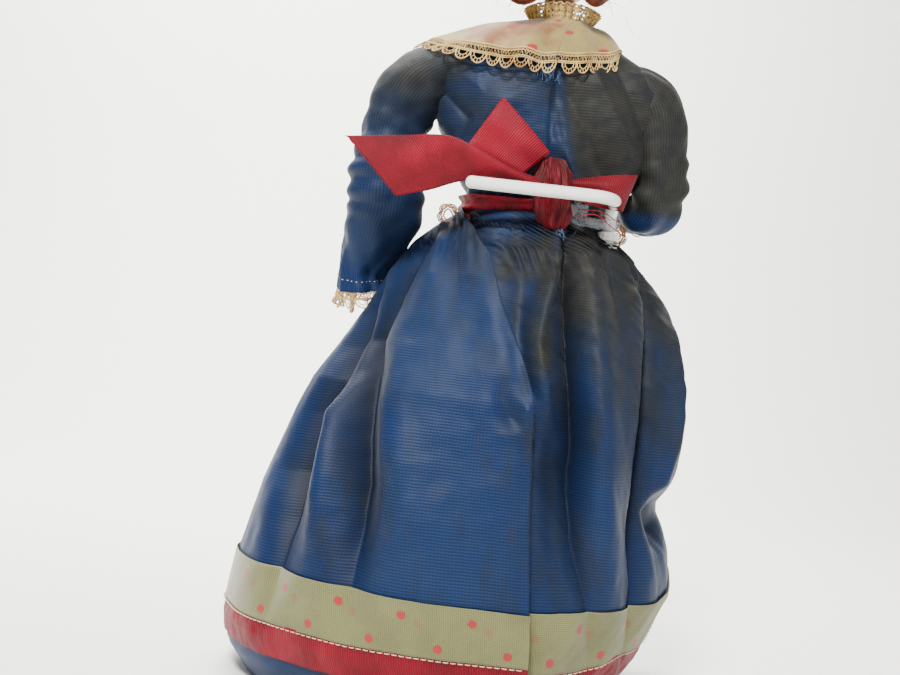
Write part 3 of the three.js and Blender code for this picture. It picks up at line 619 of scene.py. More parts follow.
def bodice(turn, z, off=0.0):
    """Points of the bodice at an angle round it and a height, `off` outside it."""
    left, right, behind, before = table(BODICE, z)
    s, c = sin(turn), cos(turn)
    half, depth = where(s > 0, left, -right), where(c > 0, behind, before)
    x, y = half * np.sign(s) * np.abs(s) ** 0.82, depth * np.sign(c) * np.abs(c) ** 0.82
    seam = x - table(PLACKET, z)[0]
    gather = 0.6 * sin(x * 1.5) * smooth(174, 154, z)
    back = gather - 1.1 * bump(seam, where(seam > 0, 2.2, 0.7), 1.0) + 0.5 * bump(seam + 2.4, 1.8)
    back = back + sum(crease(x, z, *row) for row in BODICE_CREASES)
    rise = off + 0.35 * ripple(x, z, 21, 22) + 0.12 * ripple(x, z, 22, 6) + where(c > 0, back, 0.8 * gather)
    nx, ny = s / np.maximum(half, 1), c / np.maximum(depth, 1)
    rise = rise / np.maximum(np.hypot(nx, ny), 1e-6)
    return together(x + rise * nx, y + rise * ny, z)


def build_bodice():
    points = bodice(*spans((0, TAU, 300), (151, 216.5, 120)))
    x, y, z = points[..., 0], points[..., 1], points[..., 2]
    stain = 0.95 * smooth(1.5, -7, x - table(PLACKET, z)[0]) + 0.75 * smooth(20, 30, x) * smooth(188, 200, z)
    stain = np.maximum(stain, 0.42 + 0.2 * ripple(x, z, 27, 24)) * smooth(-14, 4, y)
    piece = cloth("bodice_cloth", "bodice", "blue_taffeta", points, TAFFETA, stain=clip(stain, 0, 1))
    rng = np.random.default_rng(3)
    threads = []
    for _ in range(60):
        x, z = rng.normal(1.8, 1.7), rng.uniform(197, 206)
        start = np.array([x, bodice(np.array(math.asin(x / 38)), np.array(z), 0.6)[1], z])
        lean = rng.uniform(-1, 1)
        steps = [start + [lean * 1.6 * t + rng.uniform(-0.12, 0.12), 0.5 + 0.8 * t * (1 - 0.4 * t), 2.4 * t]
                 for t in (0, 0.4, 0.8, 1.2)]
        threads.append(spline(steps, 8))
    tubes("frayed_threads", threads, 0.08, THREAD_BLUE, sides=4)


# ---- sleeves ----
# Middle line of each sleeve with its half width across and half depth: x, y, z, across, depth.
SLEEVE_LEFT = [(26, 0, 201, 9, 11), (33, 0, 201.5, 9.5, 12), (40.5, 0, 197.5, 11.2, 12.5),
               (46.5, 0, 190, 10.9, 12), (49.8, 0, 181.5, 10.2, 11.2), (51, 0, 173, 11.2, 11),
               (50.9, -0.9, 163, 12.2, 11.6), (51, -3.4, 153, 12.2, 11), (53.2, -6, 143, 10.4, 9.8),
               (55.6, -8.2, 135, 7.6, 7.8), (56, -9.4, 130.5, 6.9, 7.2), (55.6, -10.2, 126.6, 8.2, 8.2)]
SLEEVE_RIGHT = [(-24, 0, 200, 9, 11), (-29, 0, 200, 9.8, 12), (-34, 0, 196, 10.8, 12.4),
                (-36.6, 0, 188.5, 10.2, 12), (-37.6, 0, 180, 9.2, 11.4), (-38.8, -0.6, 172, 9, 11),
                (-38.8, -4.2, 165.6, 9, 11), (-37.8, -12, 164.4, 8.4, 9), (-36.8, -20, 165.4, 7.8, 8.2),
                (-36, -27.5, 166, 7.4, 7.4), (-35.8, -31.5, 166.7, 6.4, 6.6), (-35.8, -34.6, 167, 7.4, 7.6)]
SLEEVE_ROWS, SLEEVE_SIDES = 150, 110


def sleeve_points(stations, seed, side):
    """A grid round a sleeve, rows down it, with the folds that its bend makes."""
    stations = np.array(stations, float)
    mid = spline(stations[:, :3], SLEEVE_ROWS)
    reach, at = lengths(stations[:, :3]), lengths(mid)
    at = at / at[-1] * reach[-1]
    widths = [np.pad(np.interp(at, reach, column), 4, mode="edge") for column in stations.T[3:]]
    across, depth = [np.convolve(width, np.ones(9) / 9, mode="valid")[:, None] for width in widths]
    way = unit(np.gradient(mid, axis=0))
    out = unit(np.cross([0.0, side, 0.0], way))
    fore = np.cross(way, out)
    turn, at = linspace(0, TAU, SLEEVE_SIDES)[None, :], at[:, None]
    down = at / reach[-1]
    rise = 0.9 * ripple(turn * 9, at, seed, 30) + 0.16 * ripple(turn * 9, at, seed + 1, 10)
    gathers = 0.6 * smooth(0.84, 0.95, down) + 0.35 * smooth(0.22, 0.08, down)
    rise = rise + gathers * sin(9 * turn + 2 * sin(2 * turn))
    rise = rise + sin(3 * turn + 3 * down + seed) * 0.8 * smooth(0.1, 0.5, down)
    elbow = bump(down - 0.52, 0.16) * (0.4 + 0.6 * cos(turn + 0.5) ** 2)
    rise = rise + 0.9 * sin(at * 0.9 + sin(turn) * 2.0) * elbow
    outward, forward = (across + rise) * cos(turn), (depth + rise) * sin(turn)
    return mid[:, None] + out[:, None] * outward[..., None] + fore[:, None] * forward[..., None]


def build_sleeve(name, stations, points, stain):
    """A sleeve in two pieces that meet above the elbow, with the stitches round its cuff."""
    arm, forearm = f"upper_arm_{name}", f"forearm_{name}"
    stain = clip(stain, 0, 1)
    cut = int(SLEEVE_ROWS * 0.37)
    upper, lower = (
        cloth(f"sleeve_{name}_{end}", f"sleeve_{part}_{name}", "blue_taffeta", points[rows], TAFFETA,
              flip=True, body=None, stain=stain[rows])
        for end, part, rows in (("top", "upper", slice(cut + 1)), ("end", "lower", slice(cut, None))))
    shoulder, armpit = (spot(stations[k][0], 0, stations[1][2]) for k in (1, 3))
    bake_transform(upper)
    elbow = sum(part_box(f"elbow_pin_{name}"), Vector()) / 2
    above, below = ((spot(*points[k].mean(0)) - elbow).normalized() for k in (cut, -1))
    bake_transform(lower)
    upper.modifiers["thickness"].use_rim = lower.modifiers["thickness"].use_rim = False
    row = points[int(SLEEVE_ROWS * 0.955)]
    out = unit(row - row.mean(0))
    arch = np.array([[0.1], [0.45], [0.1]])
    stitches = [row[k : k + 3] + out[k : k + 3] * arch for k in range(0, 106, 4)]
    sewn = tubes(f"cuff_stitches_{name}", stitches, 0.13, THREAD_PALE, sides=4, body=forearm)


# ---- lace ----
def lace_lines(edge, out, width, pitch):
    """Threads of a lace edging: cords along its heading, netting between them and scallops outside.
    edge is a line of points, out the way across the lace at each of them."""
    along = lengths(edge)

    def at(s, t):
        s = clip(s, 0, along[-1])
        start, way = (together(*(np.interp(s, along, column) for column in line.T)) for line in (edge, out))
        return start + way * np.asarray(t, float)[..., None]

    def scallop(s, angle, scale):
        beside, out_by = cos(angle) * pitch / 2 * scale, sin(angle) * 0.55 * width * scale
        return at(s + pitch / 2 - beside, 0.45 * width + out_by)

    every, net = np.arange(0, along[-1], 0.45), np.arange(0, along[-1], 0.35)
    lines = [at(every, t + 0.07 * sin(every * 6)) for t in (0.0, 0.9, 0.42 * width, 0.42 * width + 0.5)]
    lines.append(at(net, 0.45 + 0.45 * sin(net * TAU / 1.4)))
    lines.append(at(net, 0.45 + 0.21 * width + 0.2 * width * sin(net * TAU / 1.1)))
    thick = [0.26, 0.2, 0.26, 0.18, 0.13, 0.13]
    for s in np.arange(0, along[-1] - pitch, pitch):
        lines += [scallop(s, linspace(0, pi, 13), scale) for scale in (1.0, 0.62)]
        lines += [scallop(s, turn, np.array([0.62, 0.98])) for turn in linspace(0.2, 0.8, 5) * pi]
        thick += [0.24, 0.15] + [0.12] * 5
    return lines, thick


def lace(name, node, edge, out, width, pitch, sides=5, body="torso"):
    """A lace edging in place of a kept node."""
    piece = tubes(name, *lace_lines(edge, out, width, pitch), LACE, sides, body)
    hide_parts(node)
    return piece


def cuff_lace(name, points):
    """Lace round the end of a sleeve."""
    ring, turn = points[-1], linspace(0, TAU, SLEEVE_SIDES)
    aside = unit(ring - ring.mean(0))
    out = unit(unit(ring - points[-6]) + 0.15 * aside)
    edge = ring - 0.3 * out
    out = unit(out + 0.3 * sin(9 * turn)[:, None] * aside)
    lace(f"cuff_lace_{name}_thread", f"cuff_lace_{name}", edge, out, 6.0, 3.9, body=f"forearm_{name}")


def build_sleeves():
    points = sleeve_points(SLEEVE_LEFT, 31, 1.0)
    y, z = points[..., 1], points[..., 2]
    grey = 0.68 * smooth(172, 200, z) * smooth(-8, 3, y) + 0.34 * bump(z - 165, 40)
    cuff_lace("left", points)
    build_sleeve("left", SLEEVE_LEFT, points, grey)
    points = sleeve_points(SLEEVE_RIGHT, 47, -1.0)
    brown = 1.1 * smooth(-12, 0, points[..., 1]) * smooth(158, 165, points[..., 2])
    cuff_lace("right", points)
    build_sleeve("right", SLEEVE_RIGHT, points, brown)


# ---- collar and neck frill ----
COLLAR_EDGE = [(0, 22, 206.2), (15, 21.6, 206.4), (29, 17, 207.6), (40, 4, 210.4), (37.5, -9, 209.4),
               (25, -19, 207), (7, -23.5, 205), (-9, -22.5, 205.5), (-19, -14, 209.5), (-22.5, 0, 213.5),
               (-18, 14, 210.5), (-9, 20.8, 207.2)]
NECK = (-1.5, 0.0, 221.0)


def collar_edge():
    """The collar's rippled outer edge, once round from straight behind, and the angle to each point."""
    edge = spline(COLLAR_EDGE[-2:] + COLLAR_EDGE + COLLAR_EDGE[:2], 1200)
    from_start = np.linalg.norm(edge - COLLAR_EDGE[0], axis=1)
    start, stop = np.argmin(from_start[:500]), 600 + np.argmin(from_start[600:])
    edge = edge[start : stop + 1][:: (stop - start) // 280]
    edge[-1] = edge[0]
    turn = np.unwrap(np.arctan2(edge[:, 0] - 8, edge[:, 1]))
    away = unit(together(edge[:, 0] - 6, edge[:, 1], 0.0))
    edge = edge + away * (0.6 * sin(9 * turn) + 0.35 * sin(17 * turn + 1))[:, None]
    edge[-1] = edge[0]
    return edge, turn


def build_collar():
    edge, turn = collar_edge()
    ring = np.array(NECK) + 9.6 * together(sin(turn), cos(turn), 0.0)
    t = linspace(0, 1, 40)[None, :]
    points = ring[:, None] * (1 - t[..., None]) + edge[:, None] * t[..., None]
    x, y = points[..., 0], points[..., 1]
    points[..., 2] += 2.2 * sin(pi * t**1.25) - 1.2 * sin(pi * t) * smooth(18, 36, np.abs(x))
    points[..., 2] += (0.5 * sin(9 * turn + 0.6) + 0.45 * sin(14 * turn))[:, None] * t**1.5 * (1 - 0.5 * t)
    rust = 0.22 + 0.65 * bump(x - 10, 9) * bump(t - 0.5, 0.32) * (y > 0)
    rust = rust + 0.6 * bump(x - 24, 8) * bump(t - 0.85, 0.3)
    piece = cloth("collar_organdy", "collar", "dotted_organdy", points, COLLAR_CLOTH, 0.15, rust=rust)
    out = unit(points[:, -1] - points[:, -4])
    hang = smooth(36, 22, np.abs(x[:, -1]))[:, None]
    out = unit(out * [1, 1, 0.55] * (1 - 0.75 * hang) + [0, 0, -0.35] - hang * [0, 0, 0.65])
    edging = lace("collar_lace_threads", "collar_lace", points[:, -1] - out * 0.5, out, 6.6, 4.6)


def build_neck_frill():
    turn, t = spans((0, TAU, 420), (0, 1, 14))
    wave = sin(26 * turn + sin(5 * turn)) * 1.5 * t
    radius = 9.3 + 2.2 * t + wave
    points = together(NECK[0] + radius * sin(turn), radius * cos(turn), 219.4 + 6 * t - 0.5 * wave)
    piece = cloth("neck_frill", "neck_ruffle", "lace", points, LACE_NET, 0.2)
    rim = tubes("neck_frill_rim", [points[:, -1], points[:, 9]], [0.24, 0.16], LACE)


# ---- sash and bow ----
RIBBON_THICK = 0.28
TAIL_ROWS, LOOP_ROWS = 90, 70
TAIL_TOP = [(62.2, 30, 172), (46, 31.2, 173.9), (31, 31.5, 175), (22.5, 31, 172.4), (11, 29, 168),
            (1, 26.5, 165.5)]
TAIL_LOW = [(44.8, 30.4, 155), (40, 31, 156.6), (34.9, 31.2, 158.1), (23, 30.4, 162.6), (10, 28, 163.4),
            (0, 25.8, 160.5)]


def build_sash():
    turn, z = spans((0, TAU, 360), (150.5, 160, 36))
    fold = 0.55 * sin(z * 1.5 + 1.2 * sin(turn * 2) + 0.6 * sin(5 * turn))
    fold = fold + 0.3 * ripple(turn * 22, z * 2, 61, 12)
    points = together(1.2 + (24.3 + fold) * sin(turn), (19.2 + fold) * cos(turn), z + 0.6 * sin(turn))
    stain = 0.3 + 0.3 * ripple(turn * 22, z, 62, 16) + 0.3 * smooth(14, 0, points[..., 0])
    stain = clip(where(points[..., 1] > 0, stain, 0.1), 0, 1)
    piece = cloth("sash_ribbon", "sash", "red_ribbon", points, RIBBON, 0.25, stain=stain)


def ribbon_loop(name, node, near, far, y, bulge, turn_mm, stain):
    """A flattened loop of ribbon from the knot (near edge) to its fold (far edge) and back."""
    near, far = np.array(near, float), np.array(far, float)
    s, t = spans((0, 2, LOOP_ROWS), (0, 1, 30))
    go = sin(clip(1 - np.abs(1 - s), 0, 1) * pi / 2) ** 1.1
    x, z = (a * (1 - go) + b * go for a, b in
            ((near[0, k] * (1 - t) + near[1, k] * t, far[0, k] * (1 - t) + far[1, k] * t) for k in (0, 1)))
    swell = bulge * sin(pi * clip(go * 0.9 + 0.05, 0, 1)) * (0.5 + 0.5 * sin(pi * t))
    depth = y + where(s < 1, 1, -1) * np.sqrt(clip(1 - go**6, 0, 1)) * (turn_mm + swell)
    depth = depth + 0.4 * sin(3.1 * pi * t + 2 * go) * (1 - go * 0.6) - 1.2 * (1 - go)
    piece = cloth(name, node, "red_ribbon", together(x, depth, z), RIBBON, RIBBON_THICK, stain=stain)
    return piece


def soften_by_simulation(piece, pinned, frames=10, most_mm=3.0):
    """Lets a ribbon settle as cloth with its own weight, held where it is knotted."""
    group = piece.vertex_groups.new(name="held")
    for index, weight in enumerate(pinned.ravel()):
        if weight > 0:
            group.add([index], float(weight), "REPLACE")
    piece.modifiers.remove(piece.modifiers["thickness"])
    sim = piece.modifiers.new("settle", "CLOTH")
    settings = sim.settings
    settings.quality, settings.mass = 8, 0.002
    settings.tension_stiffness = settings.compression_stiffness = 30
    settings.shear_stiffness, settings.bending_stiffness = 10, 6
    settings.vertex_group_mass = "held"
    settings.effector_weights.gravity = 0.05
    sim.collision_settings.use_collision = False
    for frame_number in range(1, frames + 1):
        bpy.context.scene.frame_set(frame_number)
    posed = piece.evaluated_get(bpy.context.evaluated_depsgraph_get())
    shape = posed.to_mesh()
    settled = np.empty(len(shape.vertices) * 3, np.float32)
    shape.vertices.foreach_get("co", settled)
    posed.to_mesh_clear()
    piece.modifiers.remove(sim)
    bpy.context.scene.frame_set(1)
    start = np.empty_like(settled)
    piece.data.vertices.foreach_get("co", start)
    move = (settled - start).reshape(-1, 3)
    far = np.linalg.norm(move, axis=1, keepdims=True)
    move = move * np.minimum(1, most_mm * MM / np.maximum(far, 1e-9))
    piece.data.vertices.foreach_set("co", (start.reshape(-1, 3) + move).ravel())
    piece.data.update()
    thicken(piece, RIBBON_THICK)


def build_tail():
    """The loose end of the bow, with its pinked edge."""
    top, low = spline(TAIL_TOP, TAIL_ROWS)[:, None], spline(TAIL_LOW, TAIL_ROWS)[:, None]
    along, t = spans((0, 1, TAIL_ROWS), (0, 1, 26))
    points = top * (1 - t[..., None]) + low * t[..., None]
    points[0, :, 0] += np.abs((linspace(0, 9.5, 26) % 1) - 0.5) * 1.6
    swell = 1.3 * sin(pi * t) * (0.5 + along) + 1.5 * bump(along - 0.42, 0.1) * (1 - t)
    points[..., 1] += swell - 1.0 * bump(along - 0.2, 0.15)
    stain = clip(0.28 + 0.25 * ripple(along * 60, t * 16, 71, 18), 0, 1)
    tail = cloth("bow_tail_ribbon", "bow_tail", "red_ribbon", points, RIBBON, RIBBON_THICK, flip=True,
                 stain=stain)
    rows = np.broadcast_to(np.arange(TAIL_ROWS)[:, None], points.shape[:2])
    soften_by_simulation(tail, smooth(40, 66, rows))


def build_bow():
    upper = ribbon_loop("bow_loop_top", "bow_loop_upper", [(8, 165.5), (-1, 174.5)],
                        [(25.2, 173.6), (15.6, 190.2)], y=25.5, bulge=2.4, turn_mm=1.6, stain=0.0)
    # The curled loop's high stain darkens and browns it: partly painted shade of its curl, partly stain.
    ribbon_loop("bow_loop_curled", "bow_loop_side", [(-8.5, 161.5), (-8.5, 166.5)],
                [(-25.5, 158.8), (-29, 170.6)], y=25, bulge=4.2, turn_mm=2.4, stain=0.62)
    build_tail()
    s, _ = spans((0, 2, LOOP_ROWS), (0, 1, 30))
    soften_by_simulation(upper, smooth(0.75, 0.3, np.broadcast_to(1 - np.abs(1 - s), (LOOP_ROWS, 30))))
    build_knot()


def build_knot():
    turn, h = spans((0, TAU, 120), (0, 1, 60))
    swell = sin(pi * h) ** 0.55
    fold = 0.75 * sin(9 * turn + 5 * h) + 0.5 * sin(4 * turn - 7 * h + 1)
    fold = fold + 0.5 * ripple(turn * 5, h * 20, 77, 8)
    a, b = 2.0 + 3.9 * swell + fold, 2.6 + 3.4 * swell + fold
    x, y = -3.4 + a * sin(turn) + 2.2 * (h - 0.5), 24.2 + b * cos(turn) - 2 * np.abs(h - 0.5)
    stain = clip(0.6 + 0.3 * ripple(turn * 5, h * 20, 78, 9), 0, 1)
    points = together(x, y, 150.5 + 22.5 * h)
    piece = cloth("bow_knot_ribbon", "bow_knot", "red_ribbon", points, RIBBON, RIBBON_THICK, stain=stain)


# ---- the white lever ----
ROD_RADIUS = 2.0
ROD_WAY = [(22.4, 34, 161.5), (5, 34, 161.5), (-13, 34, 161.5), (-18.5, 32.8, 161.5), (-22, 29, 161.4),
           (-23.2, 24, 161.2), (-23.3, 18.5, 160.6), (-23.3, 15, 158.2), (-23.3, 14, 154), (-23.3, 14, 148),
           (-23.3, 14, 142.4)]


def build_lever():
    """A bent rod with a rounded free end."""
    way = spline(ROD_WAY, 120)
    cap = linspace(0, pi / 2, 8)[:-1]
    line = np.vstack([way[0] + np.outer(1.9 * cos(cap), [1, 0, 0]), way])
    radius = np.concatenate([ROD_RADIUS * sin(cap) + 0.02, np.full(len(way), ROD_RADIUS)])
    piece = tubes("lever_rod", [line], [radius], WHITE, sides=28, body="lever")
    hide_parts("mouth_lever")


# ---- apron ----
def build_apron():
    across, t = spans((-1, 1, 150), (0, 1, 90))
    low = 62 + 9 * np.abs(across) ** 4
    h = low + (157 - low) * t
    half = 0.3 + 0.42 * smooth(156, 60, h) + 0.16 * bump(h - 150, 9)
    pleat = 0.8 * sin(across * 16 + 0.8 * sin(across * 5))
    points = folded_skirt(pi + across * half, h, 1.8 + pleat * smooth(156, 140, h) + 0.3 * pleat)[0]
    piece = cloth("apron_organdy", "apron", "dotted_organdy", points, ORGANDY, 0.15, rust=0.15)
    rim = np.vstack([points[0, ::-1], points[1:-1, 0], points[-1, :]])
    out = unit(rim - np.vstack([points[4, ::-1], points[1:-1, 4], points[-5, :]]))
    edging = lace("apron_lace_threads", "apron_lace", rim[::2], out[::2], 4.6, 4.2, sides=4)
    corners = apron_corners()


def apron_corners():
    """Scraps of lace that show on both sides of the waist, in a darker, browner copy of the lace as painted
    shade.
    """
    threads, widths = [], []
    for x, y, z, lean in ((28.6, 7, 153.6, 1), (-26.5, 8, 152.8, -1)):
        base = spline([(x - 3 * lean, y - 3, z - 3), (x, y, z + 1.6), (x + 1.6 * lean, y - 1, z - 0.6),
                       (x - lean, y + 1, z - 3)], 24)
        way = unit(np.gradient(base, axis=0))
        lines, thick = lace_lines(base, unit(np.cross(way, [0, lean, 0])), 2.2, 2.2)
        threads += lines
        widths += thick
    return tubes("apron_corner_lace", threads, widths, LACE_SHADED)


# ---- head ----
HEAD_Z = 258.0
EYE_AT = (8.6, -19.4, 1.0)
JAW_WIDE, JAW_TOP, JAW_BACK = 7.7, HEAD_Z - 14.1, -8.0


def globe(turns, downs, edge=0.03):
    """Angles round a closed oval and down from its top."""
    return linspace(0, TAU, turns, endpoint=False)[:, None], linspace(edge, pi - edge, downs)[None, :]


def face_form(x, y, z):
    """How far the carved features stand out from an oval head, and the marks of its paint."""
    front = smooth(2, -12, y)

    def patch(px, pz, wx, wz, sharp=2.0):
        return front * np.exp(-((np.abs(x - px) / wx) ** sharp) - (np.abs(z - pz) / wz) ** sharp)

    def pair(px, pz, wx, wz):
        return patch(px, pz, wx, wz) + patch(-px, pz, wx, wz)

    nose = 4.0 * patch(0, -4.5, 2.6, 3.4) + 2.2 * patch(0, 1.5, 2.0, 6.0) + 1.4 * pair(2.6, -5.2, 1.6, 1.8)
    cheeks = 1.5 * pair(10.5, -7.5, 5.5, 5.0) + 1.2 * patch(0, -24, 5, 4.5) + 0.9 * pair(8.6, 5.8, 5.5, 1.8)
    mouth = 1.3 * patch(0, -12.4, 4.6, 1.3) + 1.2 * patch(0, -15.6, 4, 1.3) - 1.1 * patch(0, -14.1, 5.2, 0.55)
    aside, above = x - EYE_AT[0] * np.sign(x), z - EYE_AT[2]
    lid = np.hypot(aside * 0.86, where(above > 0, above * 1.9, above * 1.35))
    socket = front * (1.1 * bump(np.hypot(aside, above), 4.6, 4) - 3.4 * bump(lid, 2.9, 8))
    arch = z - 8.2 - 1.6 * cos((np.abs(x) - 8) / 4)
    brow = front * bump(arch, 0.75, 4) * bump(np.abs(x) - 8.4, 4.4, 6)
    lash = front * bump(lid - 3.05, 0.32, 4) * smooth(0.9, 1.7, z) * bump(aside, 3.3, 8)
    lips = 1.25 * patch(0, -12.7, 5.0, 1.25, 4) + 1.25 * patch(0, -15.7, 4.4, 1.3, 4)
    marks = {"lips": clip(lips, 0, 1), "brow": clip(brow + lash, 0, 1), "blush": pair(11.5, -7.5, 5.5, 5.0)}
    return nose + cheeks + mouth + socket, marks


def face_piece(name, points, faces, body, marks, thickness):
    """A painted shell of the faces given, with only the points they use."""
    used, at = np.unique(faces, return_inverse=True)
    marks = {mark: values.ravel()[used] for mark, values in marks.items()}
    piece = make(name, points.reshape(-1, 3)[used], at.reshape(faces.shape), SKIN, body, **marks)
    thicken(piece, thickness)
    return piece


def build_face():
    """One smooth painted head with a hinged jaw cut out below the mouth."""
    turn, down = globe(280, 181, 0.02)
    x, y = 21 * sin(down) * sin(turn), -24 * sin(down) * cos(turn)
    z = np.broadcast_to(30 * cos(down), x.shape)
    rise, marks = face_form(x, y, z)
    scale = 1 + rise / np.sqrt(x**2 + y**2 + z**2)
    points = together(x * (1 - 0.16 * smooth(-4, -30, z)) * scale, y * scale, z + HEAD_Z)
    faces = quads(*x.shape, wrap_n=True)
    middle = points.reshape(-1, 3)[faces].mean(1)
    is_jaw = (np.abs(middle[:, 0]) < JAW_WIDE) & (middle[:, 2] < JAW_TOP) & (middle[:, 1] < JAW_BACK)
    skull = face_piece("head_painted", points, faces[~is_jaw], "head", marks, 1.4)
    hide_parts("head_front", "head_back")
    inset = points * [0.965, 1, 1] + [0, 0.1, -0.15]
    chin = face_piece("jaw_painted", inset, faces[is_jaw], "jaw", marks, 1.6)
    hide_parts("jaw")
    build_eye("left", 1)
    build_eye("right", -1)


def build_eye(name, side):
    turn, down = globe(48, 40)
    centre = [EYE_AT[0] * side, EYE_AT[1], HEAD_Z + EYE_AT[2]]
    ball = together(sin(down) * cos(turn), -cos(down), sin(down) * sin(turn)) * 3.25 + centre
    piece = make(f"eye_{name}_glass", ball, quads(48, 40, wrap_n=True)[:, ::-1], EYE, "head",
                 iris=smooth(0.54, 0.48, down), pupil=smooth(0.26, 0.2, down))
    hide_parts(f"eye_{name}")


# ---- hair ----
# Both buns: side, x, radius of the coil, radius of its core.
BUNS = [("left", 13.0, 8.0, 7.4), ("right", -10.4, 6.2, 5.6)]
BUN_Y, BUN_Z = 18.5, 232.5


def hair_surface(turn, down, off):
    """Points over the hair: turn from the face round, down from the crown."""
    x, y = (23.2 + off) * sin(down) * sin(turn), 1.4 - (25.6 + off) * sin(down) * cos(turn)
    return together(x, y, HEAD_Z + 1.2 + (33 + off) * cos(down))


def hairline(turn, top=0.84):
    """How far down the hair reaches: low behind, high over the face."""
    return top + 1.62 * smooth(0.75, 0.0, cos(turn))


def combed_strands(rng):
    """Strands combed from a middle parting towards the buns, and finer ones straight down."""
    strands, thick = [], []
    s = linspace(0, 1, 22)
    for side in (1, -1):
        for k in range(230):
            back = k / 229
            reach = pi - 0.25 - 0.25 * rng.random()
            sweep = side * (0.05 + reach * smooth(0, 1, s * (0.75 + 0.25 * back)))
            depth = (0.05 + 0.82 * (1 - back)) * (1 - s) + (2.2 + 0.25 * rng.uniform(-1, 1)) * s
            depth = np.minimum(depth + 0.25 * sin(pi * s) * (1 - back), hairline(sweep))
            off = -0.35 + 0.45 * rng.random() + 0.25 * sin(3 * pi * s + k)
            strands.append(hair_surface(sweep, depth, off))
            thick.append(rng.uniform(0.28, 0.5))
    s = linspace(0, 1, 16)
    for _ in range(150):
        turn = rng.uniform(0.2, TAU - 0.2)
        sweep = turn + 0.2 * s * rng.uniform(-1, 1)
        depth = np.minimum(0.02 + 2.44 * s, hairline(turn))
        strands.append(hair_surface(sweep, depth, -0.3 + 0.3 * rng.random()))
        thick.append(rng.uniform(0.25, 0.45))
    return strands, thick


def coil(rng, x, wide):
    """One strand wound round a bun."""
    r = wide * rng.uniform(0.25, 1.0)
    a = linspace(0, 1, 30) * TAU * rng.uniform(0.8, 1.5) + rng.uniform(0, TAU)
    tilt = rng.uniform(-0.25, 0.25)
    thin = math.sqrt(1 - (r / wide) ** 2) * 5.8 + 0.8
    lift = rng.choice([-1, 1]) * thin * rng.uniform(0.7, 1.0)
    y = BUN_Y + lift * 0.9 + tilt * r * sin(a) + 0.3 * sin(5 * a)
    return together(x + r * cos(a), y, BUN_Z + 1.25 * r * sin(a))


def loose_hair(rng):
    side = rng.choice([-1, 1])
    p = np.array([side * rng.uniform(2, 21), rng.uniform(16, 24), rng.uniform(222, 234)])
    q = p + [side * rng.uniform(-2, 5), rng.uniform(-2, 3), rng.uniform(-7, 1)]
    return spline([p, (p + q) / 2 + rng.uniform(-2, 2, 3), q], 10)


def build_hair():
    """A smooth cap with fine strands combed over it, two coiled buns low behind and a lace over the top."""
    turn, down = spans((0, TAU, 160), (0.002, 2.48, 110))
    cap_points = hair_surface(turn, np.minimum(down, hairline(turn, 0.86)), -0.7)
    cloth("hair_base", "hair_cap", "hair", cap_points, HAIR, 0.8, body="head", flip=True)
    rng = np.random.default_rng(11)
    strands, thick = combed_strands(rng)
    coils = [[coil(rng, x, wide) for _ in range(90)] for _, x, wide, _ in BUNS]
    wild = [loose_hair(rng) for _ in range(46)]
    hair = [tubes("hair_strands", strands, thick, HAIR, sides=4, body="head")]
    for (name, _, _, _), lines in zip(BUNS, coils):
        hair.append(tubes(f"hair_coil_{name}", lines, 0.5, HAIR, body="head"))
        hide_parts(f"hair_bun_{name}")
    hair.append(tubes("hair_loose", wild, 0.06, HAIR, sides=3, body="head"))
    turn, down = globe(40, 30)
    for name, x, _, wide in BUNS:
        y, z = BUN_Y + 5.6 * sin(down) * sin(turn), BUN_Z + 9.2 * cos(down)
        core = together(x + wide * sin(down) * cos(turn), y, z)
        make(f"hair_core_{name}", core, quads(40, 30, wrap_n=True), HAIR, "head")
    build_hair_lace()


def build_hair_lace():
    down = linspace(0.55, 2.35, 60)
    edge = hair_surface(pi, np.minimum(down, 2.1), 0.9) - [2.6, 0, 0]
    edge[:, 2] -= 30 * clip(down - 2.1, 0, 1)
    out = np.tile([1.0, 0, 0], (len(edge), 1))
    lace("hair_lace_threads", "hair_lace", edge, out, 5.2, 3.4, sides=4, body="head")


# ---- finishes of the pieces kept as they are ----
FINISHES = [
    (WOOD, ["torso_front", "torso_back", "hip_block", "neck_bush", "neck_tube", "upper_arm_left",
            "upper_arm_right"]),
    (STEEL, ["hip_pin", "shoulder_pin_left", "shoulder_pin_right", "guide_rivet", "lever_spring", "cord_guide",
             "jaw_pin", "pull_rod", "elbow_pin_left", "elbow_pin_right"]),
    (WHITE, ["cord_drum"]),
    (CLEAR, ["lever_guide", "lever_bearing"]),
    (THREAD_RED, ["pull_cord"]),
    (SKIN, ["forearm_left", "forearm_right", "leg_left", "leg_right"]),
    (LEATHER, ["shoe_left", "shoe_right"]),
    (BLACK, ["hair_pin"]),
]
# Kept pieces of rounded form: name, voxel size, rounds of smoothing.
ROUNDED = [("forearm_left", 0.42, 5), ("forearm_right", 0.42, 5), ("leg_left", 0.7, 8), ("leg_right", 0.7, 8),
           ("shoe_left", 0.5, 6), ("shoe_right", 0.5, 6), ("hair_pin", 0.2, 3)]
BEVELLED = ["lever_guide", "lever_bearing", "cord_drum", "hip_block", "neck_bush"]


def finish_nodes():
    for material, names in FINISHES:
        for name in names:
            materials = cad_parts[name].data.materials
            materials.clear()
            materials.append(material)
    for name, voxel, times in ROUNDED:
        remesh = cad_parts[name].modifiers.new("even", "REMESH")
        remesh.mode, remesh.voxel_size, remesh.use_smooth_shade = "VOXEL", voxel * MM, True
        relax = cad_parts[name].modifiers.new("relax", "SMOOTH")
        relax.factor, relax.iterations = 0.5, times
    for name in BEVELLED:
        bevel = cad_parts[name].modifiers.new("edge", "BEVEL")
        bevel.width, bevel.segments, bevel.limit_method = 0.25 * MM, 2, "ANGLE"


def waist(x, z, off):
    """Depth of the skirt's surface at a point x on its back near the waist."""
    return folded_skirt(turn_of(x, z), z, off)[0][1]


